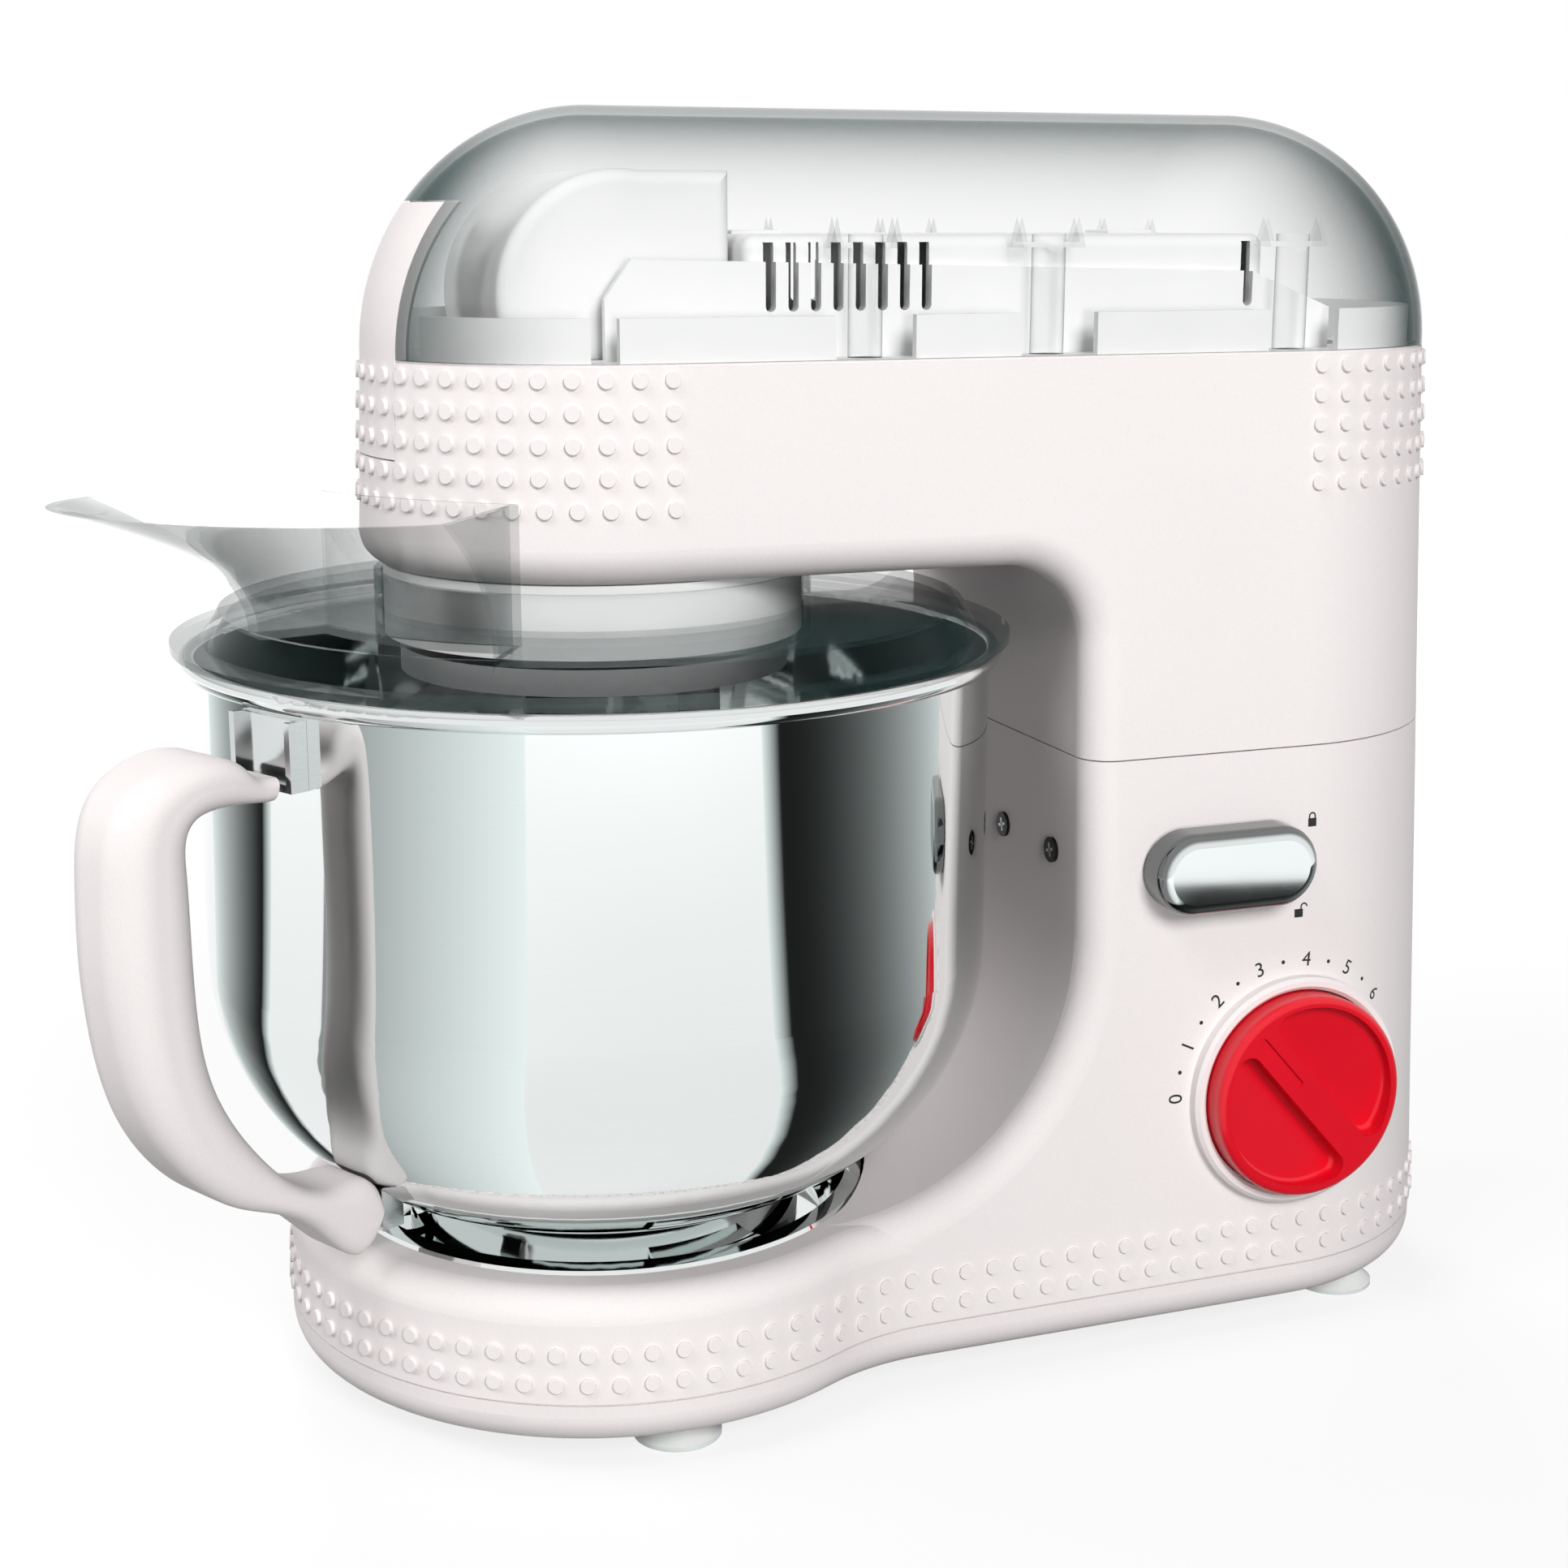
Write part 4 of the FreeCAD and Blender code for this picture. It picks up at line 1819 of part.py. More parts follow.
def motor_brackets():
    """Two end brackets with posts up to the stator; the lower one also carries the brush holders."""
    post = ("brush_post_half", "brush_post_inner", "brush_post_outer")
    lower_disc = drum("lower_disc", "bracket_radius", "mount_top", "bracket_top", "motor_x")
    lower = [lower_disc] + uprights("lower_post", "bolt_radius", "bolt_place", "mount_top", "stator_low")
    lower += beside_motor("brush_post", *post, "mount_top", "brush_low")
    top = "upper_bracket_low + bracket_height"
    upper_disc = drum("upper_disc", "bracket_radius", "upper_bracket_low", top, "motor_x")
    upper = [upper_disc] + uprights("upper_post", "bolt_radius", "bolt_place", "stator_top", top)
    halves = []
    for name, solids in (("lower_bracket_half", lower), ("upper_bracket_half", upper)):
        bore = drum(f"{name}_bore", "motor_shaft_radius + running_fit", "motor_floor", "fan_low", "motor_x")
        halves.append(cut_solid(name, solids, [bore]))
    return grouped("motor_brackets", halves)


def stator():
    """Square stack of sheets with rounded corners and a round hole for the armature."""
    half = "stator_side / 2"
    body = padded_body("stator", outline_across(f"-{half}", half, half), "core_height")
    round_edges(body, "mount_radius", is_upright)
    drill(body, [("0", "0", "core_radius + air_gap")])
    return place(body, x="motor_x", z="stator_low")


def motor_frame_pieces():
    """Fixed parts of the motor: mounts, brackets, stator, coils and brush holders."""
    grouped("motor_mounts", uprights("mount", "mount_radius", "mount_spread", "motor_floor", "mount_top"))
    motor_brackets()
    stator()
    grouped("field_coils", [
        bush("upper_coil", "coil_inner", "coil_outer", "stator_top", "stator_top + coil_height", "motor_x"),
        bush("lower_coil", "coil_inner", "coil_outer", "stator_low - coil_height", "stator_low", "motor_x"),
    ])
    reach = ("brush_half", "commutator_radius + joint_gap", "brush_end")
    grouped("brush_holders", beside_motor("brush_holder", *reach, "brush_low", "brush_low + brush_height"))


def armature():
    """Round core with winding slots all round."""
    section = bush_outline("motor_shaft_radius + press_gap", "core_radius", "0", "core_height")
    body = turned_body("armature", section)
    drawing = sketch_on(body, "XY_Plane", "winding_slot")
    draw_outline(drawing, outline_across("core_radius - slot_depth", "core_radius + 1", "slot_width / 2"))
    slot = cut_through(body, drawing, "winding_slot_cut")
    repeat_round(body, slot, drawing, "slot_count")
    return place(body, x="motor_x", z="stator_low")


def cooling_fan():
    """Fan with straight blades on a thin disc."""
    body = turned_body("cooling_fan", [
        ("motor_shaft_radius + press_gap", "0"),
        ("fan_radius", "0"),
        ("fan_radius", "1.2"),
        ("fan_hub_radius", "1.2"),
        ("fan_hub_radius", "blade_height"),
        ("motor_shaft_radius + press_gap", "blade_height"),
    ])
    drawing = sketch_on(body, "XY_Plane", "blade_outline")
    draw_outline(drawing, outline_across("fan_hub_radius - 1", "fan_radius", "blade_wall / 2"))
    blade = body.newObject("PartDesign::Pad", "blade")
    blade.Profile = drawing
    bind(blade, "Length", "blade_height")
    drawing.Visibility = False
    repeat_round(body, blade, drawing, "blade_count")
    return place(body, x="motor_x", z="fan_low")


def motor_turning_pieces():
    """Turning parts of the motor: shaft, core, commutator, fan and pulley."""
    rod("motor_shaft", "motor_shaft_radius", "mount_top + 0.5", "shaft_top", x="motor_x")
    armature()
    section = bush_outline("motor_shaft_radius + press_gap", "commutator_radius", "0", "commutator_height")
    turned("commutator", section, x="motor_x", z="bracket_top + 4")
    cooling_fan()
    turned("motor_pulley", [
        ("motor_shaft_radius + press_gap", "0"),
        ("motor_pulley_radius + 1.5", "0"),
        ("motor_pulley_radius", "1"),
        ("motor_pulley_radius", "pulley_height - 1"),
        ("motor_pulley_radius + 1.5", "pulley_height"),
        ("motor_shaft_radius + press_gap", "pulley_height"),
    ], x="motor_x", z="pulley_low")


def build():
    base_shell()
    bottom_plate()
    suction_feet()
    cord_inlet()
    face_screws()
    bowl_seat()
    bowl()
    bowl_foot()
    handle_grip()
    bracket("upper_bracket", upper_bracket_solid(0))
    bracket("lower_bracket", lower_bracket_solid(0))
    head_shell()
    dome()
    front_cap()
    gear_cover()
    motor_cover()
    top_deck()
    splash_guard()
    pouring_chute()
    hinge_pin()
    strike_pin()
    dial_pieces()
    lever_pieces()
    hub_ring()
    ring_gear()
    planetary_pieces()
    beater_pieces()
    gear_plate()
    gear_bridge()
    shaft_bushes("main_bushes", "main_shaft_radius", "0", "head_underside - 5")
    shaft_bushes("lay_bushes", "lay_shaft_radius", "lay_place", "head_floor")
    layshaft_pieces()
    drive_belt()
    motor_frame_pieces()
    motor_turning_pieces()


def centre_over_origin():
    """Move every piece so that the origin is under the middle of the machine's box."""
    boxes = [piece.Shape.optimalBoundingBox(False) for piece in PIECES]
    middle_x = (min(b.XMin for b in boxes) + max(b.XMax for b in boxes)) / 2
    middle_y = (min(b.YMin for b in boxes) + max(b.YMax for b in boxes)) / 2
    SHEET.set("bowl_axis_x", str(-middle_x))
    SHEET.set("bowl_axis_y", str(-middle_y))
    DOC.recompute()
    print("bowl axis over the origin at", round(-middle_x, 4), round(-middle_y, 4))


def check_pieces():
    for item in DOC.Objects:
        if "Invalid" in item.State or "Error" in item.State:
            raise RuntimeError(f"{item.Label} did not build: {item.State}")
    for piece in PIECES:
        if piece.Shape.isNull() or not piece.Shape.isValid():
            raise RuntimeError(f"{piece.Label} has no valid shape")


def write_pieces():
    os.makedirs("parts", exist_ok=True)
    for piece in PIECES:
        piece.Shape.exportStep(f"parts/{piece.Label}.step")
        print(piece.Label, len(piece.Shape.Solids), round(piece.Shape.Volume))


build()
DOC.recompute()
centre_over_origin()
check_pieces()
write_pieces()
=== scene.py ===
# %% [markdown]
# # A stand mixer in a white studio
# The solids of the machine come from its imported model. This script gives them their finishes and adds
# what a mould, a printing pad or a cutter leaves on them: studs, numbers, lock signs and screw recesses.

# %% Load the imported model
import math

import bpy
from mathutils import Matrix, Vector
from mathutils.bvhtree import BVHTree


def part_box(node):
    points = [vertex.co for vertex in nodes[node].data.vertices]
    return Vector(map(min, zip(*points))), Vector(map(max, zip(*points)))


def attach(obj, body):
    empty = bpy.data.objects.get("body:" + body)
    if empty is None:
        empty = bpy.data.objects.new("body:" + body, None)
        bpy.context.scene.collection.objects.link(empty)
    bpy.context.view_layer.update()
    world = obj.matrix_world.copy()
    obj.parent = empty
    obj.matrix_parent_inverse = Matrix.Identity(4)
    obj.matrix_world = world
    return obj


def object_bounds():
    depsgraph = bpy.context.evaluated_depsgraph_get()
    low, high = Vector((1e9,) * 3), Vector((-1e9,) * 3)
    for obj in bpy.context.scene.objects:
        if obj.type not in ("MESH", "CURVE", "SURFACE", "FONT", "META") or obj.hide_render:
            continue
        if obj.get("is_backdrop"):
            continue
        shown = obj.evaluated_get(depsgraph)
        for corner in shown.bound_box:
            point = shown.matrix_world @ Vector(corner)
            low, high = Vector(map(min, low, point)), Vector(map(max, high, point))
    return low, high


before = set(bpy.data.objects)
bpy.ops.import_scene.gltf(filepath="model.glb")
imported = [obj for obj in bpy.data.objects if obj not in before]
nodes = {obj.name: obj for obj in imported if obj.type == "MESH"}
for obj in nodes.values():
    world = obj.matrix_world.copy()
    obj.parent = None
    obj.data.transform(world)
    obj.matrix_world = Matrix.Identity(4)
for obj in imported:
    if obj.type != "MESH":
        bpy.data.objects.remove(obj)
cad_low, cad_high = (Vector(corner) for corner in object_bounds())
MM = 0.001
print(len(nodes), "nodes; box in mm", [round(side / MM, 1) for side in cad_high - cad_low])

# %% [markdown]
# Most places below are worked out from the boxes of a few nodes, so they follow the model. The head and the
# column are one tapered block with round ends: wide at the seam above the bottom tray and narrow at the
# line under the dome. Its nose is centred on the bowl, which gives the main axis.

# %% Measure the housing
bowl_low, bowl_high = (Vector(corner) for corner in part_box("bowl"))
dome_low, dome_high = (Vector(corner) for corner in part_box("dome"))
tray_low, tray_high = (Vector(corner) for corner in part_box("bottom_plate"))
AXIS = Vector(((bowl_low.x + bowl_high.x) / 2, (bowl_low.y + bowl_high.y) / 2, 0))
HEAD_HALF = (dome_high.y - dome_low.y) / 2
DOME_LINE = dome_low.z
SEAM = tray_high.z
BACK = dome_high.x - HEAD_HALF - AXIS.x
BASE_HALF = tray_high.x - AXIS.x - BACK
FRONT_RADIUS = AXIS.x - tray_low.x
DRAFT = (BASE_HALF - HEAD_HALF) / (DOME_LINE - SEAM)


def half_width(height):
    """Half the width of the tapered housing at a height."""
    return HEAD_HALF + DRAFT * (DOME_LINE - height)


taper = round(math.degrees(math.atan(DRAFT)), 2)
print("bowl axis in mm", [round(v / MM, 2) for v in AXIS], "taper in degrees", taper)

# %% [markdown]
# ## Finishes as sums
# A finish is a small graph of nodes. Drawn by hand that is a lot of boxes and wires, so one class wraps an
# output and lets Python's own signs add the Math nodes. Any other node comes from one method.

# %% Node helpers


class Value:
    """An output of a node that can be used in a sum."""

    def __init__(self, finish, socket):
        self.finish = finish
        self.socket = socket

    def _math(self, operation, first, second):
        return self.finish.node("ShaderNodeMath", {"operation": operation}, {0: first, 1: second})

    def __add__(self, other):
        return self._math("ADD", self, other)

    __radd__ = __add__

    def __sub__(self, other):
        return self._math("SUBTRACT", self, other)

    def __rsub__(self, other):
        return self._math("SUBTRACT", other, self)

    def __mul__(self, other):
        return self._math("MULTIPLY", self, other)

    __rmul__ = __mul__

    def __pow__(self, other):
        return self._math("POWER", self, other)

    def __rpow__(self, other):
        return self._math("POWER", other, self)


class Finish:
    """A material, or the world, whose nodes are made one call at a time."""

    def __init__(self, name, world=None):
        self.data = world or bpy.data.materials.new(name)
        self.data.use_nodes = True
        self.tree = self.data.node_tree
        self.tree.nodes.clear()

    def node(self, kind, settings=None, sockets=None, output=0):
        """Add a node: its settings first, then the values or links of its sockets."""
        made = self.tree.nodes.new(kind)
        for name, value in (settings or {}).items():
            setattr(made, name, value)
        for name, value in (sockets or {}).items():
            if isinstance(value, Value):
                self.tree.links.new(value.socket, made.inputs[name])
            else:
                made.inputs[name].default_value = value
        return Value(self, made.outputs[output]) if made.outputs else made

    def spot(self):
        """The place on the piece, in metres."""
        return self.node("ShaderNodeTexCoord", output="Object")

    def part(self, vector, axis):
        """One coordinate of a vector."""
        return self.node("ShaderNodeSeparateXYZ", None, {0: vector}, output=axis)

    def noise(self, size, detail=2.0, vector=None):
        """Cloudy values from 0 to 1 with features of about a size in millimetres."""
        return self.node("ShaderNodeTexNoise", None, {
            "Vector": vector or self.spot(), "Scale": 1 / (size * MM), "Detail": detail})

    def ramp(self, value, low, high, first=0.0, second=1.0):
        """Follow a value smoothly from one number to another while it goes from low to high."""
        return self.node("ShaderNodeMapRange", {"interpolation_type": "SMOOTHSTEP"}, {
            "Value": value, "From Min": low, "From Max": high, "To Min": first, "To Max": second})

    def mix(self, share, first, second):
        """A colour between two colours."""
        return self.node("ShaderNodeMix", {"data_type": "RGBA"}, {
            "Factor": share, 6: (*first, 1), 7: (*second, 1)}, output=2)

    def bump(self, height, depth, strength):
        """A normal from a height map, with its depth in millimetres."""
        return self.node("ShaderNodeBump", None, {
            "Height": height, "Distance": depth * MM, "Strength": strength})

    def surface(self, **sockets):
        """Finish with the everyday shader; a socket's spaces are written as underscores."""
        named = {name.replace("_", " "): value for name, value in sockets.items()}
        shader = self.node("ShaderNodeBsdfPrincipled", None, named)
        self.node("ShaderNodeOutputMaterial", None, {"Surface": shader})
        return self.data


def shaded(colour, share):
    """A colour made darker."""
    return tuple(part * share for part in colour)


def paint(material, *names):
    """Give whole nodes one material."""
    for name in names:
        data = nodes[name].data
        data.materials.clear()
        data.materials.append(material)


print("nodes to paint:", len(nodes))

# %% [markdown]
# ## Soft coating
# Housing, cap and grip have a rubbery paint: matte, warm white, with a fine speckle that only shows close
# up. A plain colour would look like paper, so two noises move the colour and the gloss a little, and the
# finer one also gives the skin its tooth.

# %% Soft coating
COAT_LIGHT = (0.905, 0.86, 0.856)
COAT_DARK = (0.79, 0.742, 0.738)


def soft_coating():
    """Matte warm white with a speckle of half a millimetre."""
    finish = Finish("soft_coating")
    speckle = finish.noise(size=0.55, detail=3)
    cloud = finish.noise(size=60)
    return finish.surface(
        Base_Color=finish.mix(speckle * 0.7 + cloud * 0.3, COAT_DARK, COAT_LIGHT),
        Roughness=0.5 + speckle * 0.14,
        Normal=finish.bump(speckle, depth=0.05, strength=0.5),
        Specular_IOR_Level=0.35,
    )


coating = soft_coating()
paint(coating, "base_shell", "bottom_plate", "head_shell", "front_cap", "handle_grip", "dial_ring")
print("coated:", coating.name)

# %% [markdown]
# ## Clear mouldings
# The dome is thin clear plastic. Looking straight through it there is hardly any tint; looking along it
# the light passes more material, and it turns dark grey-green, most of all where its two ends curve down.
# Refraction would do this too, but slowly and with noise inside. So the opacity of a dark colour follows
# the angle of view instead, and counts for more over the dome's ends. The guard and its chute are made the
# same way, of slightly smoky plastic.

# %% Clear plastics
GLASS_LIGHT = (0.04, 0.082, 0.08)
GLASS_DARK = shaded(GLASS_LIGHT, 0.8)
DOME_ROUND = 42 * MM


def clear_plastic(name, thin, thick, power, gloss, ends=()):
    """Plastic whose opacity goes from thin to thick towards its edges, and sooner over its ends, if any."""
    finish = Finish(name)
    grazing = finish.node("ShaderNodeLayerWeight", None, {"Blend": 0.5}, output="Facing")
    dense = grazing ** power
    for start, stop in ends:
        dense = dense + grazing * finish.ramp(finish.part(finish.spot(), "X"), start, stop)
    ripple = finish.noise(size=35)
    return finish.surface(
        Base_Color=finish.mix(ripple, GLASS_DARK, GLASS_LIGHT),
        Roughness=0.02 + ripple * 0.03,
        Alpha=thin + dense * (thick - thin),
        Specular_IOR_Level=gloss,
    )


dome_ends = ((dome_low.x + DOME_ROUND, dome_low.x), (dome_high.x - DOME_ROUND, dome_high.x))
clear = clear_plastic("clear_dome", thin=0.006, thick=0.74, power=2.6, gloss=0.06, ends=dome_ends)
paint(clear, "dome")
paint(clear_plastic("smoke_guard", thin=0.02, thick=0.7, power=2.6, gloss=0.3), "splash_guard")
paint(clear_plastic("smoke_chute", thin=0.004, thick=0.95, power=3.2, gloss=0.4), "pouring_chute")
print("clear pieces: dome, splash_guard, pouring_chute; ends in mm",
      [[round(place / MM, 1) for place in end] for end in dome_ends])

# %% [markdown]
# ## Metals
# The bowl is spun and polished, so its faint lines run round it. A noise that is squeezed flat along Z
# gives such rings. Strip, turned, wound and stacked parts have lines of the same kind, and castings have a
# grain without direction.

# %% Metals
SPUN = (0.15, 0.15, 14)


def metal(name, colour, rough, size, grain=(1, 1, 1), swing=0.05, depth=0.0, shade=0.9):
    """Bare metal whose grain has a size in millimetres and is squeezed along each axis by a number."""
    finish = Finish(name)
    squeezed = finish.node("ShaderNodeVectorMath", {"operation": "MULTIPLY"}, {0: finish.spot(), 1: grain})
    lines = finish.noise(size, detail=3, vector=squeezed)
    relief = {"Normal": finish.bump(lines, depth, strength=0.4)} if depth else {}
    return finish.surface(
        Base_Color=finish.mix(lines, shaded(colour, shade), colour),
        Metallic=1.0,
        Roughness=rough + lines * swing,
        **relief,
    )


polished = metal("polished_steel", (0.80, 0.83, 0.825), 0.03, size=5, grain=SPUN, swing=0.02, shade=0.97)
strip = metal("strip_steel", (0.66, 0.68, 0.68), 0.10, size=3, grain=(1, 1, 6), swing=0.08)
machined = metal("machined_steel", (0.60, 0.61, 0.62), 0.28, size=2, grain=(1, 1, 8), swing=0.1, depth=0.02)
blackened = metal("blackened_steel", (0.04, 0.04, 0.042), 0.35, size=1.5, swing=0.1)
cast = metal("cast_aluminium", (0.74, 0.74, 0.75), 0.32, size=1.2, swing=0.16, depth=0.05)
bronze = metal("bronze", (0.66, 0.45, 0.22), 0.3, size=1, swing=0.1)
copper = metal("copper", (0.78, 0.36, 0.18), 0.25, size=1.2, grain=(1, 1, 12), swing=0.12, depth=0.1)
stacked = metal("stacked_sheets", (0.22, 0.22, 0.23), 0.45,
                size=1, grain=(0.05, 0.05, 20), swing=0.15, depth=0.08)
paint(polished, "bowl", "bowl_foot", "bowl_seat")
paint(strip, "upper_bracket", "lower_bracket")
paint(machined, "hinge_pin", "strike_pin", "main_shaft", "beater_shaft", "cross_pin", "layshaft",
      "motor_shaft", "lever_shaft", "latch_hook", "dial_shaft", "main_gear", "lay_pinion", "planet_pinion",
      "ring_gear", "gear_plate", "gear_bridge")
paint(blackened, "face_screws")
paint(cast, "planet_carrier", "beater", "motor_brackets")
paint(bronze, "main_bushes", "lay_bushes", "planet_bush")
paint(copper, "commutator", "field_coils")
paint(stacked, "stator", "armature")
print("materials in the file:", len(bpy.data.materials))

# %% [markdown]
# The lever is chromed. On the real one a bright face lies inside a dark rim, because the rim mirrors the
# shaded side of the machine. The studio here is too plain for that, so the dark rim is a painted
# reflection:
# the colour itself is darker where the wall turns away from the control side. The face is a little crowned
# and mirrors the far end of the studio, so its normals lean up by a few degrees.

# %% Chrome of the lever
CHROME = (0.74, 0.78, 0.775)
# dark colour of the rim: a painted reflection of the shaded side of the machine
CHROME_RIM_PAINTED_REFLECTION = shaded(CHROME, 0.25)
RIM_NORMAL = -0.8
FACE_NORMAL = -0.97
FACE_LEAN = 0.09


def lever_chrome():
    """Chrome whose dark rim is a painted reflection of the shaded housing, with a bright face that leans
    up.
    """
    finish = Finish("chrome")
    normal = finish.node("ShaderNodeNewGeometry", output="Normal")
    # painted reflection: the colour darkens towards the rim, where the wall turns away from the control
    # side
    bright = finish.ramp(finish.part(normal, "Y"), RIM_NORMAL, FACE_NORMAL)
    lean = finish.node("ShaderNodeVectorMath", {"operation": "ADD"}, {0: normal, 1: (0, 0, FACE_LEAN)})
    return finish.surface(
        Base_Color=finish.mix(bright, CHROME_RIM_PAINTED_REFLECTION, CHROME),
        Metallic=1.0,
        Roughness=0.03 + finish.noise(size=20, detail=3) * 0.02,
        Normal=finish.node("ShaderNodeVectorMath", {"operation": "NORMALIZE"}, {0: lean}),
    )


paint(lever_chrome(), "lever_knob")
print("face leans by degrees:", round(math.degrees(math.atan(FACE_LEAN)), 1))

# %% [markdown]
# ## Plastics and rubber
# The covers under the dome are plain white mouldings. The knob is deep red and polished, so it gets a clear
# coat over the colour. Feet and mounts are soft and milky; belt, pulleys and switch are black.

# %% Plastics and rubber


def moulded(name, colour, rough, tooth=0.0, **more):
    """Moulded plastic or rubber: nearly even colour, slightly uneven gloss, optional fine tooth."""
    finish = Finish(name)
    cloud = finish.noise(size=30)
    if tooth:
        more["Normal"] = finish.bump(finish.noise(size=0.5), tooth, strength=0.5)
    colours = finish.mix(cloud, shaded(colour, 0.9), colour)
    return finish.surface(Base_Color=colours, Roughness=rough + cloud * 0.08, **more)


white = moulded("white_moulding", (0.87, 0.875, 0.87), 0.35)
red = moulded("red_knob", (0.76, 0.004, 0.018), 0.3, Coat_Weight=0.25, Coat_Roughness=0.08)
milky = moulded("milky_rubber", (0.86, 0.87, 0.85), 0.3, Subsurface_Weight=0.3, Subsurface_Scale=4 * MM)
black = moulded("black_moulding", (0.03, 0.03, 0.032), 0.4, tooth=0.03)
rubber = moulded("belt_rubber", (0.025, 0.025, 0.025), 0.6, tooth=0.05)
ink = moulded("black_ink", (0.02, 0.02, 0.022), 0.5)
paint(white, "gear_cover", "motor_cover", "top_deck", "hub_ring")
paint(red, "dial_knob")
paint(milky, "suction_feet", "motor_mounts")
paint(black, "large_pulley", "motor_pulley", "cooling_fan", "speed_switch", "brush_holders", "cord_inlet",
      "lever_bush")
paint(rubber, "drive_belt")
print("materials in the file:", len(bpy.data.materials))

# %% [markdown]
# ## Studs
# Five rows of low round studs run round the nose and round the back of the head, and two rows run all round
# the base. They are moulded with the housing. One stud is a short turned profile; copies of it are set
# along the outline at an even pitch, square to the wall, and joined into one mesh for each body.

# %% One stud
STUD_RADIUS = 2.05 * MM
STUD_HEIGHT = 1.0 * MM
STUD_PITCH = 8.3 * MM
STUD_SIDES = 20
# shares of the stud's radius and height, from below the wall to the bevelled top edge
STUD_PROFILE = ((1.0, -0.4), (1.0, 0.86), (0.94, 1.0))


def ring_points(radius, sides, height=0.0):
    """Points of a circle round Z."""
    turns = (2 * math.pi * side / sides for side in range(sides))
    return [Vector((radius * math.cos(turn), radius * math.sin(turn), height)) for turn in turns]


def stud_mesh():
    """Points and faces of one stud along Z, closed at both ends."""
    points = []
    for share, rise in STUD_PROFILE:
        points += ring_points(share * STUD_RADIUS, STUD_SIDES, rise * STUD_HEIGHT)
    faces = []
    for ring in range(len(STUD_PROFILE) - 1):
        low, high = ring * STUD_SIDES, (ring + 1) * STUD_SIDES
        for side in range(STUD_SIDES):
            after = (side + 1) % STUD_SIDES
            faces.append((low + side, low + after, high + after, high + side))
    last = (len(STUD_PROFILE) - 1) * STUD_SIDES
    faces.append(tuple(range(last, last + STUD_SIDES)))
    faces.append(tuple(reversed(range(STUD_SIDES))))
    return points, faces


stud_points, stud_faces = stud_mesh()
print("one stud:", len(stud_points), "points", len(stud_faces), "faces")

# %% Join copies into one mesh
SHARP_ANGLE = math.radians(30)
UP = Vector((0, 0, 1))


def joined(name, body, shapes, material):
    """Make one mesh object from many (points, faces, matrix), riding on a body."""
    points, faces = [], []
    for shape_points, shape_faces, matrix in shapes:
        start = len(points)
        points += [matrix @ point for point in shape_points]
        faces += [tuple(start + index for index in face) for face in shape_faces]
    mesh = bpy.data.meshes.new(name)
    mesh.from_pydata(points, [], faces)
    mesh.materials.append(material)
    mesh.shade_smooth()
    mesh.set_sharp_from_angle(angle=SHARP_ANGLE)
    piece = bpy.data.objects.new(name, mesh)
    bpy.context.scene.collection.objects.link(piece)
    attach(piece, body)
    print(name, "joins", len(shapes), "shapes,", len(faces), "faces")


def facing(place, outward):
    """Matrix that stands a shape's Z on a wall, with its Y pointing up the wall."""
    side = UP.cross(outward).normalized()
    rise = outward.cross(side)
    return Matrix.Translation(place) @ Matrix((side, rise, outward)).transposed().to_4x4()


sample = facing(AXIS, Vector((0, -1, 0)))
print("on the control side a stud stands along", [round(v) for v in sample.col[2]][:3])

# %% Studs on the head
HEAD_ROW_COUNT = 5
HEAD_ROW_TOP = 3.8 * MM
HEAD_ROW_STEP = 7.95 * MM
HEAD_ROWS = [DOME_LINE - HEAD_ROW_TOP - HEAD_ROW_STEP * row for row in range(HEAD_ROW_COUNT)]
NOSE_LEAD = 3.9 * MM


def tapered(outward):
    """Tip a level direction up so that it is square to the tapered wall."""
    return (outward + UP * DRAFT).normalized()


def nose_path(distance, radius):
    """Round the nose from the control side: point and direction at a distance from the round's start."""
    turn = distance / radius
    outward = Vector((-math.sin(turn), -math.cos(turn), 0))
    return outward * radius, outward


def nose_studs(height, radius):
    """Stud places of a row round the nose, with one more on each straight side."""
    length = math.pi * radius
    count = round((length + 2 * NOSE_LEAD) / STUD_PITCH)
    step = (length + 2 * NOSE_LEAD) / count
    places = []
    for column in range(count + 1):
        distance = column * step - NOSE_LEAD
        if distance < 0 or distance > length:
            outward = Vector((0, -1 if distance < 0 else 1, 0))
            point = outward * radius + Vector((NOSE_LEAD, 0, 0))
        else:
            point, outward = nose_path(distance, radius)
        places.append((AXIS + point + UP * height, tapered(outward)))
    return places


def back_studs(height, radius):
    """Stud places of a row round the back of the head."""
    length = math.pi * radius
    count = round(length / STUD_PITCH)
    places = []
    for column in range(count + 1):
        point, outward = nose_path(column * length / count, radius)
        behind = Vector((BACK - point.x, point.y, height))
        places.append((AXIS + behind, tapered(Vector((-outward.x, outward.y, 0)))))
    return places


head_places = []
for height in HEAD_ROWS:
    head_places += nose_studs(height, half_width(height)) + back_studs(height, half_width(height))
joined("head_studs", "head", [(stud_points, stud_faces, facing(*place)) for place in head_places], coating)

# %% [markdown]
# The base's outline is a round front, a hollow waist on each side, straight sides and a round back. Each
# stretch is an arc or a line, so a stud's place comes from its distance along the outline: find the
# stretch, then go that far along it. The few at the very back are set deeper, so the machine keeps its
# length.

# %% Studs round the base
WAIST_RADIUS = 60 * MM
BASE_ROWS = (34.5 * MM, 26.3 * MM)
# how far a stud on the back wall stands out, with the tilt of its top
STUD_REACH = STUD_HEIGHT + 0.1 * STUD_RADIUS


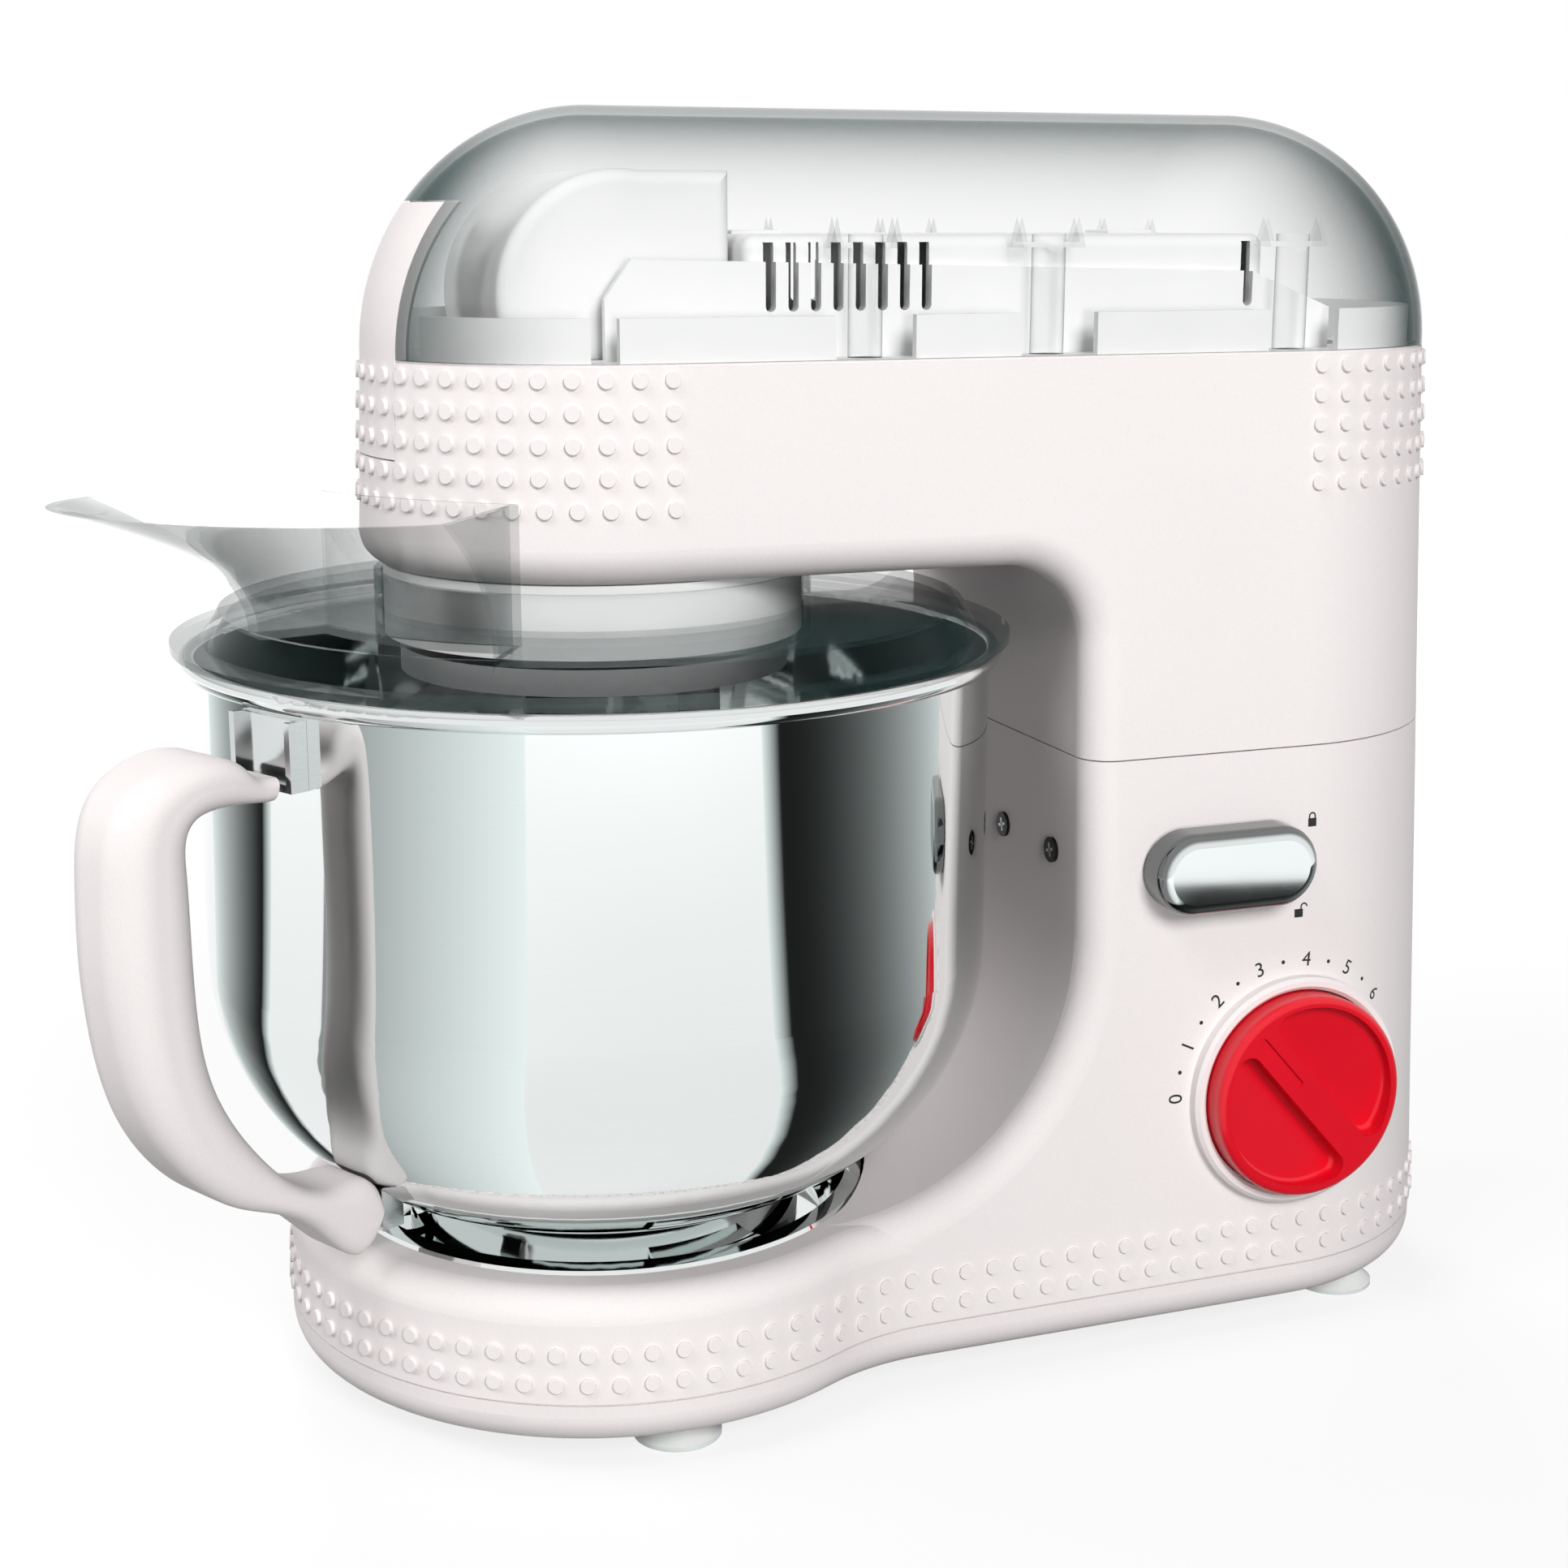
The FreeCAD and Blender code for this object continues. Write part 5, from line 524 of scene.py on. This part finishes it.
def base_stretches(height):
    """Half the outline from the front to the back, as (length, function of distance)."""
    front = FRONT_RADIUS - DRAFT * (height - SEAM)
    side = half_width(height)
    waist_x = math.sqrt((front + WAIST_RADIUS) ** 2 - (side + WAIST_RADIUS) ** 2)
    waist = Vector((waist_x, -(side + WAIST_RADIUS), 0))
    front_turn = math.atan2(waist_x, side + WAIST_RADIUS)
    front_angle = math.pi / 2 + front_turn

    def round_front(distance):
        turn = distance / front
        outward = Vector((-math.cos(turn), -math.sin(turn), 0))
        return outward * front, outward

    def hollow(distance):
        turn = front_turn - distance / WAIST_RADIUS
        outward = Vector((math.sin(turn), -math.cos(turn), 0))
        return waist - outward * WAIST_RADIUS, outward

    def straight(distance):
        return Vector((waist_x + distance, -side, 0)), Vector((0, -1, 0))

    def round_back(distance):
        turn = distance / side
        outward = Vector((math.sin(turn), -math.cos(turn), 0))
        return Vector((BACK, 0, 0)) + outward * side, outward

    return [(front * front_angle, round_front), (WAIST_RADIUS * front_turn, hollow),
            (BACK - waist_x, straight), (side * math.pi / 2, round_back)]


def walk(stretches, distance):
    """Point and direction at a distance along the stretches."""
    for length, path in stretches:
        if distance <= length:
            break
        distance -= length
    return path(distance)


def base_studs(height):
    """Stud places of one row, on both sides."""
    stretches = base_stretches(height)
    total = sum(length for length, path in stretches)
    count = round(total / STUD_PITCH)
    places = []
    for column in range(count):
        point, outward = walk(stretches, (column + 0.5) * total / count)
        for side in (1, -1):
            flip = Vector((1, side, 1))
            place = AXIS + point * flip + UP * height
            square = tapered(outward * flip)
            over = max(0.0, place.x + STUD_REACH - cad_high.x)
            places.append((place - square * over, square))
    return places


base_places = [place for height in BASE_ROWS for place in base_studs(height)]
joined("base_studs", "base", [(stud_points, stud_faces, facing(*place)) for place in base_places], coating)

# %% [markdown]
# ## Printed marks
# The numbers round the dial and the two lock signs are pad printed. Text objects give the digits; they are
# turned into meshes so that they can be laid on the wall, each upright to the dial's middle. The lock signs
# are a small box and a hoop. A line shot at the wall finds the exact spot and its slope, which is safer
# than a formula for the wall, and every mark is a thin closed plate that stands a hair proud of it.

# %% Flat shapes with a thickness
INK_LIFT = 0.05 * MM
INK_DEPTH = 0.25 * MM


def plate(points, faces, lift, depth):
    """Turn a flat face into a closed plate: a top, a bottom and walls along the open edges."""
    count = len(points)
    solid = [point + UP * lift for point in points]
    solid += [point - UP * depth for point in points]
    edges = {(face[i - 1], face[i]) for face in faces for i in range(len(face))}
    open_edges = sorted(edge for edge in edges if (edge[1], edge[0]) not in edges)
    walls = [(b, a, a + count, b + count) for a, b in open_edges]
    bottoms = [tuple(count + index for index in reversed(face)) for face in faces]
    return solid, [tuple(face) for face in faces] + bottoms + walls


def dot_shape(radius, sides=16):
    """A flat disc."""
    return ring_points(radius, sides), [tuple(range(sides))]


def hoop_shape(radius, width, centre, steps=12):
    """A flat band along the upper half of a circle."""
    points = []
    for step in range(steps + 1):
        turn = math.pi * step / steps
        for reach in (radius - width / 2, radius + width / 2):
            points.append(centre + Vector((reach * math.cos(turn), reach * math.sin(turn), 0)))
    return points, [(2 * step, 2 * step + 1, 2 * step + 3, 2 * step + 2) for step in range(steps)]


def panel_shape(low, high):
    """A flat rectangle between two corners."""
    corners = ((low[0], low[1]), (high[0], low[1]), (high[0], high[1]), (low[0], high[1]))
    return [Vector((x, y, 0)) for x, y in corners], [(0, 1, 2, 3)]


print("plate of a dot:", len(plate(*dot_shape(0.5 * MM), INK_LIFT, INK_DEPTH)[1]), "faces")

# %% Digits
DIGIT_HEIGHT = 4.3 * MM
# the font's size over the height of its digits
FONT_SHARE = 1.42


def digit_shape(text):
    """Points and faces of one digit, centred on the origin."""
    curve = bpy.data.curves.new("digit", "FONT")
    curve.body = text
    curve.size = DIGIT_HEIGHT * FONT_SHARE
    curve.align_x = "CENTER"
    curve.align_y = "CENTER"
    curve.resolution_u = 4
    holder = bpy.data.objects.new("digit", curve)
    bpy.context.scene.collection.objects.link(holder)
    bpy.context.view_layer.update()
    mesh = bpy.data.meshes.new_from_object(holder.evaluated_get(bpy.context.evaluated_depsgraph_get()))
    points = [vertex.co.copy() for vertex in mesh.vertices]
    faces = [tuple(face.vertices) for face in mesh.polygons]
    bpy.data.objects.remove(holder)
    bpy.data.meshes.remove(mesh)
    bpy.data.curves.remove(curve)
    return points, faces


print("points of a nought:", len(digit_shape("0")[0]))

# %% Numbers, dots and lock signs
DIAL_ALONG = 185.7 * MM
DIAL_HEIGHT = 74.6 * MM
MARK_RADIUS = 37.8 * MM
FIRST_ANGLE = 178
STEP_ANGLE = 23.4
TOP_SPEED = 6
DOT_RADIUS = 0.58 * MM
LOCK_HALF = 1.35 * MM
LOCK_BOTTOM = -1.9 * MM
LOCK_TOP = 0.5 * MM
LOCK_SHOULDER = 1.1 * MM
HOOP_RADIUS = 0.95 * MM
HOOP_WIDTH = 0.45 * MM
LOCKED_PLACE = (190 * MM, 152.8 * MM)
OPEN_PLACE = (186.3 * MM, 126.8 * MM)
OPEN_SWING = 1.7 * MM

shell = nodes["base_shell"].data
shell_points = [vertex.co for vertex in shell.vertices]
shell_tree = BVHTree.FromPolygons(shell_points, [face.vertices for face in shell.polygons])


def on_wall(along, height, turn=0.0):
    """Matrix of a mark on the control side, at a distance behind the bowl axis and a height."""
    start = AXIS + Vector((along, -1, height))
    place, outward = shell_tree.ray_cast(start, Vector((0, 1, 0)))[:2]
    return facing(place, outward) @ Matrix.Rotation(turn, 4, "Z")


def speed_marks():
    """Digits at whole steps and dots between them, round the dial."""
    shapes = []
    for half_step in range(2 * TOP_SPEED + 1):
        turn = math.radians(FIRST_ANGLE - STEP_ANGLE * half_step / 2)
        along = DIAL_ALONG + MARK_RADIUS * math.cos(turn)
        height = DIAL_HEIGHT + MARK_RADIUS * math.sin(turn)
        shape = dot_shape(DOT_RADIUS) if half_step % 2 else digit_shape(str(half_step // 2))
        shapes.append((shape, on_wall(along, height, turn - math.pi / 2)))
    return shapes


def lock_sign(along, height, swing=0.0):
    """A small padlock; the open one has its hoop swung aside and only one leg in the box."""
    shapes = [panel_shape((-LOCK_HALF, LOCK_BOTTOM), (LOCK_HALF, LOCK_TOP)),
              hoop_shape(HOOP_RADIUS, HOOP_WIDTH, Vector((swing, LOCK_SHOULDER, 0)))]
    for side in (-1,) if swing else (-1, 1):
        leg = swing + side * HOOP_RADIUS
        shapes.append(panel_shape((leg - HOOP_WIDTH / 2, LOCK_TOP), (leg + HOOP_WIDTH / 2, LOCK_SHOULDER)))
    where = on_wall(along, height)
    return [(shape, where) for shape in shapes]


marks = speed_marks() + lock_sign(*LOCKED_PLACE) + lock_sign(*OPEN_PLACE, OPEN_SWING)
mark_plates = [(*plate(*shape, INK_LIFT, INK_DEPTH), where) for shape, where in marks]
joined("printed_marks", "base", mark_plates, ink)

# %% [markdown]
# ## Screw recesses
# The screws in the column's face have cross recesses. They are too small to cut, so two thin bright bars
# cross on each head.

# %% Cross recesses
screw_low, screw_high = (Vector(corner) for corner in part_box("face_screws"))
SCREW_HEIGHT = (screw_low.z + screw_high.z) / 2
SCREW_SIDES = (-44 * MM, -12.5 * MM, 12.5 * MM, 44 * MM)
SCREW_TURN = 0.3
BAR_LENGTH = 4.0 * MM
BAR_WIDTH = 0.8 * MM
BAR_LIFT = 0.05 * MM
BAR_DEPTH = 0.2 * MM

bright = metal("bright_slot", (0.75, 0.75, 0.75), 0.25, size=2)
bar_corner = Vector((BAR_LENGTH / 2, BAR_WIDTH / 2))
bar = plate(*panel_shape(-bar_corner, bar_corner), BAR_LIFT, BAR_DEPTH)
crosses = []
for across in SCREW_SIDES:
    head = facing(Vector((screw_low.x, AXIS.y + across, SCREW_HEIGHT)), Vector((-1, 0, 0)))
    for turn in (SCREW_TURN, SCREW_TURN + math.pi / 2):
        crosses.append((*bar, head @ Matrix.Rotation(turn, 4, "Z")))
joined("screw_slots", "base", crosses, bright)

# %% [markdown]
# ## Camera
# The camera stands where the photograph was taken: a little to the left of the control side and slightly
# above it. Its place is given as an angle round the machine, an angle above the table and a distance.

# %% Camera
TARGET = AXIS + Vector((55.59, 0, 159.43)) * MM
VIEW_AZIMUTH = -20.19
VIEW_ELEVATION = 13.16
VIEW_DISTANCE = 693.58 * MM
LENS = 55.29
SENSOR_WIDTH = 36


def direction(azimuth, elevation):
    """From the object towards a place round it; azimuth 0 is the control side, positive is to the right."""
    around, above = math.radians(azimuth), math.radians(elevation)
    level = math.cos(above)
    return Vector((math.sin(around) * level, -math.cos(around) * level, math.sin(above)))


def aim(thing, place, target):
    """Put a lamp or camera in place and turn it to its target."""
    thing.location = place
    thing.rotation_euler = (target - place).to_track_quat("-Z", "Y").to_euler()


camera_data = bpy.data.cameras.new("photo_camera")
camera_data.lens = LENS
camera_data.sensor_width = SENSOR_WIDTH
camera = bpy.data.objects.new("photo_camera", camera_data)
bpy.context.scene.collection.objects.link(camera)
aim(camera, TARGET + direction(VIEW_AZIMUTH, VIEW_ELEVATION) * VIEW_DISTANCE, TARGET)
bpy.context.scene.camera = camera
print("camera at mm", [round(v / MM) for v in camera.location])

# %% [markdown]
# ## White surroundings
# A white floor runs into a white background. Their white is a glow that only rays to the eye, to a mirror
# and through glass can see, so it doesn't light the machine. Under the glow the floor is a plain matte
# surface that takes the shadow; far out the glow takes over, and no horizon shows.

# %% Floor and background
EYE_RAYS = ("Is Camera Ray", "Is Glossy Ray", "Is Transmission Ray")
FLOOR_HALF = 6.0
FLOOR_DROP = 0.2 * MM
FLOOR_GREY = (0.2, 0.2, 0.2, 1)
WHITE = (1, 1, 1, 1)
GLOW_NEAR, GLOW_FAR = 0.3, 1.5
GLOW_LOW, GLOW_FULL = 0.8, 1.0
SOFT_LIGHT = 0.08


def seen(finish):
    """1 for rays that reach the eye straight, in a mirror or through glass, otherwise 0."""
    eye = sum(finish.node("ShaderNodeLightPath", output=name) for name in EYE_RAYS)
    matte_bounces = finish.node("ShaderNodeLightPath", output="Diffuse Depth")
    return eye * finish.node("ShaderNodeMath", {"operation": "LESS_THAN"}, {0: matte_bounces, 1: 0.5})


def floor_finish():
    """A matte floor with a glow that grows with the distance from the machine."""
    finish = Finish("studio_floor")
    reach = finish.node("ShaderNodeVectorMath", {"operation": "LENGTH"}, {0: finish.spot()}, output="Value")
    glow = finish.ramp(reach, GLOW_NEAR, GLOW_FAR, GLOW_LOW, GLOW_FULL)
    matte = finish.node("ShaderNodeBsdfDiffuse", None, {"Color": FLOOR_GREY})
    white = finish.node("ShaderNodeEmission", None, {"Color": glow * seen(finish)})
    both = finish.node("ShaderNodeAddShader", None, {0: matte, 1: white})
    finish.node("ShaderNodeOutputMaterial", None, {"Surface": both})
    return finish.data


def background():
    """White for the eye; an even soft light for everything else."""
    world = bpy.data.worlds.new("studio")
    bpy.context.scene.world = world
    finish = Finish("studio", world)
    soft = finish.node("ShaderNodeBackground", None, {"Color": WHITE, "Strength": SOFT_LIGHT})
    white = finish.node("ShaderNodeBackground", None, {"Color": WHITE, "Strength": 1.0})
    blend = finish.node("ShaderNodeMixShader", None, {0: seen(finish), 1: soft, 2: white})
    finish.node("ShaderNodeOutputWorld", None, {"Surface": blend})


def stage_mesh(name, points, faces, material):
    """A mesh of the studio, which isn't part of the object."""
    mesh = bpy.data.meshes.new(name)
    mesh.from_pydata(points, [], faces)
    mesh.materials.append(material)
    piece = bpy.data.objects.new(name, mesh)
    bpy.context.scene.collection.objects.link(piece)
    piece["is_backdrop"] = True
    return piece


background()
floor_points, floor_faces = panel_shape((-FLOOR_HALF, -FLOOR_HALF), (FLOOR_HALF, FLOOR_HALF))
stage_mesh("floor", [point - UP * FLOOR_DROP for point in floor_points], floor_faces, floor_finish())
print("floor of", 2 * FLOOR_HALF, "m, soft light", SOFT_LIGHT)

# %% [markdown]
# ## Grey sheets
# Polished steel looks like steel only when it mirrors something dark. Photographers stand sheets of card
# round it, out of view. The camera looks down on the bowl, so its walls mirror the floor, and here each
# sheet lies on the floor and covers a range of angles round the bowl. Its brightness changes along that
# range; a narrow sheet beside each dark one softens the dark one's edge. Only mirrors see the sheets: they
# throw no shadow and light nothing.

# %% Grey sheets for the steel
SHEET_NEAR = 0.07
SHEET_FAR = 1.4
SHEET_RISE = 0.3 * MM
SHEET_STEPS = 32
SHEET_TINT = (0.93, 1.0, 0.99)
# angles where a sheet starts and ends, its glow at both, and the power that bends the change between them
SHEETS = (
    (28, 33, 1.0, 0.016, 1.0),
    (33, 100, 0.016, 0.96, 2.3),
    (-113, -117, 0.95, 0.015, 1.0),
    (-117, -150, 0.015, 0.95, 1.4),
    (-92, -34, 0.32, 1.08, 1.0),
)


def sheet_finish(name, start, end, first, last, power):
    """Glow that changes with the angle round the bowl axis."""
    finish = Finish(name)
    spot = finish.node("ShaderNodeVectorMath", {"operation": "SUBTRACT"}, {0: finish.spot(), 1: AXIS})
    across, ahead = finish.part(spot, "X"), 0 - finish.part(spot, "Y")
    turn = finish.node("ShaderNodeMath", {"operation": "ARCTAN2"}, {0: across, 1: ahead})
    share = finish.node("ShaderNodeMapRange", None, {
        "Value": turn, "From Min": math.radians(start), "From Max": math.radians(end)})
    glow = first + (last - first) * share ** power
    tinted = finish.node("ShaderNodeVectorMath", {"operation": "SCALE"}, {
        0: SHEET_TINT, "Scale": glow * seen(finish)})
    card = finish.node("ShaderNodeEmission", None, {"Color": tinted})
    finish.node("ShaderNodeOutputMaterial", None, {"Surface": card})
    return finish.data


for number, (start, end, *glow) in enumerate(SHEETS):
    points = []
    for step in range(SHEET_STEPS + 1):
        outward = direction(start + (end - start) * step / SHEET_STEPS, 0)
        points += [AXIS + outward * reach + UP * SHEET_RISE for reach in (SHEET_NEAR, SHEET_FAR)]
    faces = [(2 * step, 2 * step + 1, 2 * step + 3, 2 * step + 2) for step in range(SHEET_STEPS)]
    name = f"grey_sheet_{number}"
    sheet = stage_mesh(name, points, faces, sheet_finish(name, start, end, *glow))
    sheet.visible_camera = False
    sheet.visible_diffuse = False
    sheet.visible_transmission = False
    sheet.visible_shadow = False
print("grey sheets:", len(SHEETS))

# %% [markdown]
# ## Lamps
# Five soft lamps stand round the machine. The key, in front of the control side and above the camera, does
# most of the work, and the column's face behind the bowl stays darker, as it lies along the light. A small
# lamp low in front fills the shadow under the head. One high on the left front brightens the nose, one on
# the left the handle, and one behind the machine the sides that the photograph doesn't show. Steel mirrors
# the floor and the sheets, not the lamps, so there are no hot spots.

# %% Lamps
LAMP_DISTANCE = 2.4
# name, angle round the machine, angle above the table, size in metres, power in watts
LAMPS = (
    ("key", 0, 29, 0.8, 39),
    ("front", -10, 3, 0.4, 14),
    ("quarter", -64, 52, 0.8, 16),
    ("left", -112, 22, 0.9, 23),
    ("back", 168, 20, 1.2, 42),
)
for name, azimuth, elevation, size, power in LAMPS:
    data = bpy.data.lights.new(name, "AREA")
    data.size = size
    data.energy = power
    lamp = bpy.data.objects.new(name, data)
    bpy.context.scene.collection.objects.link(lamp)
    aim(lamp, TARGET + direction(azimuth, elevation) * LAMP_DISTANCE, TARGET)
    lamp.visible_camera = False
    lamp.visible_glossy = False
bpy.context.scene.view_settings.view_transform = "Standard"
print("lamps:", len(LAMPS))
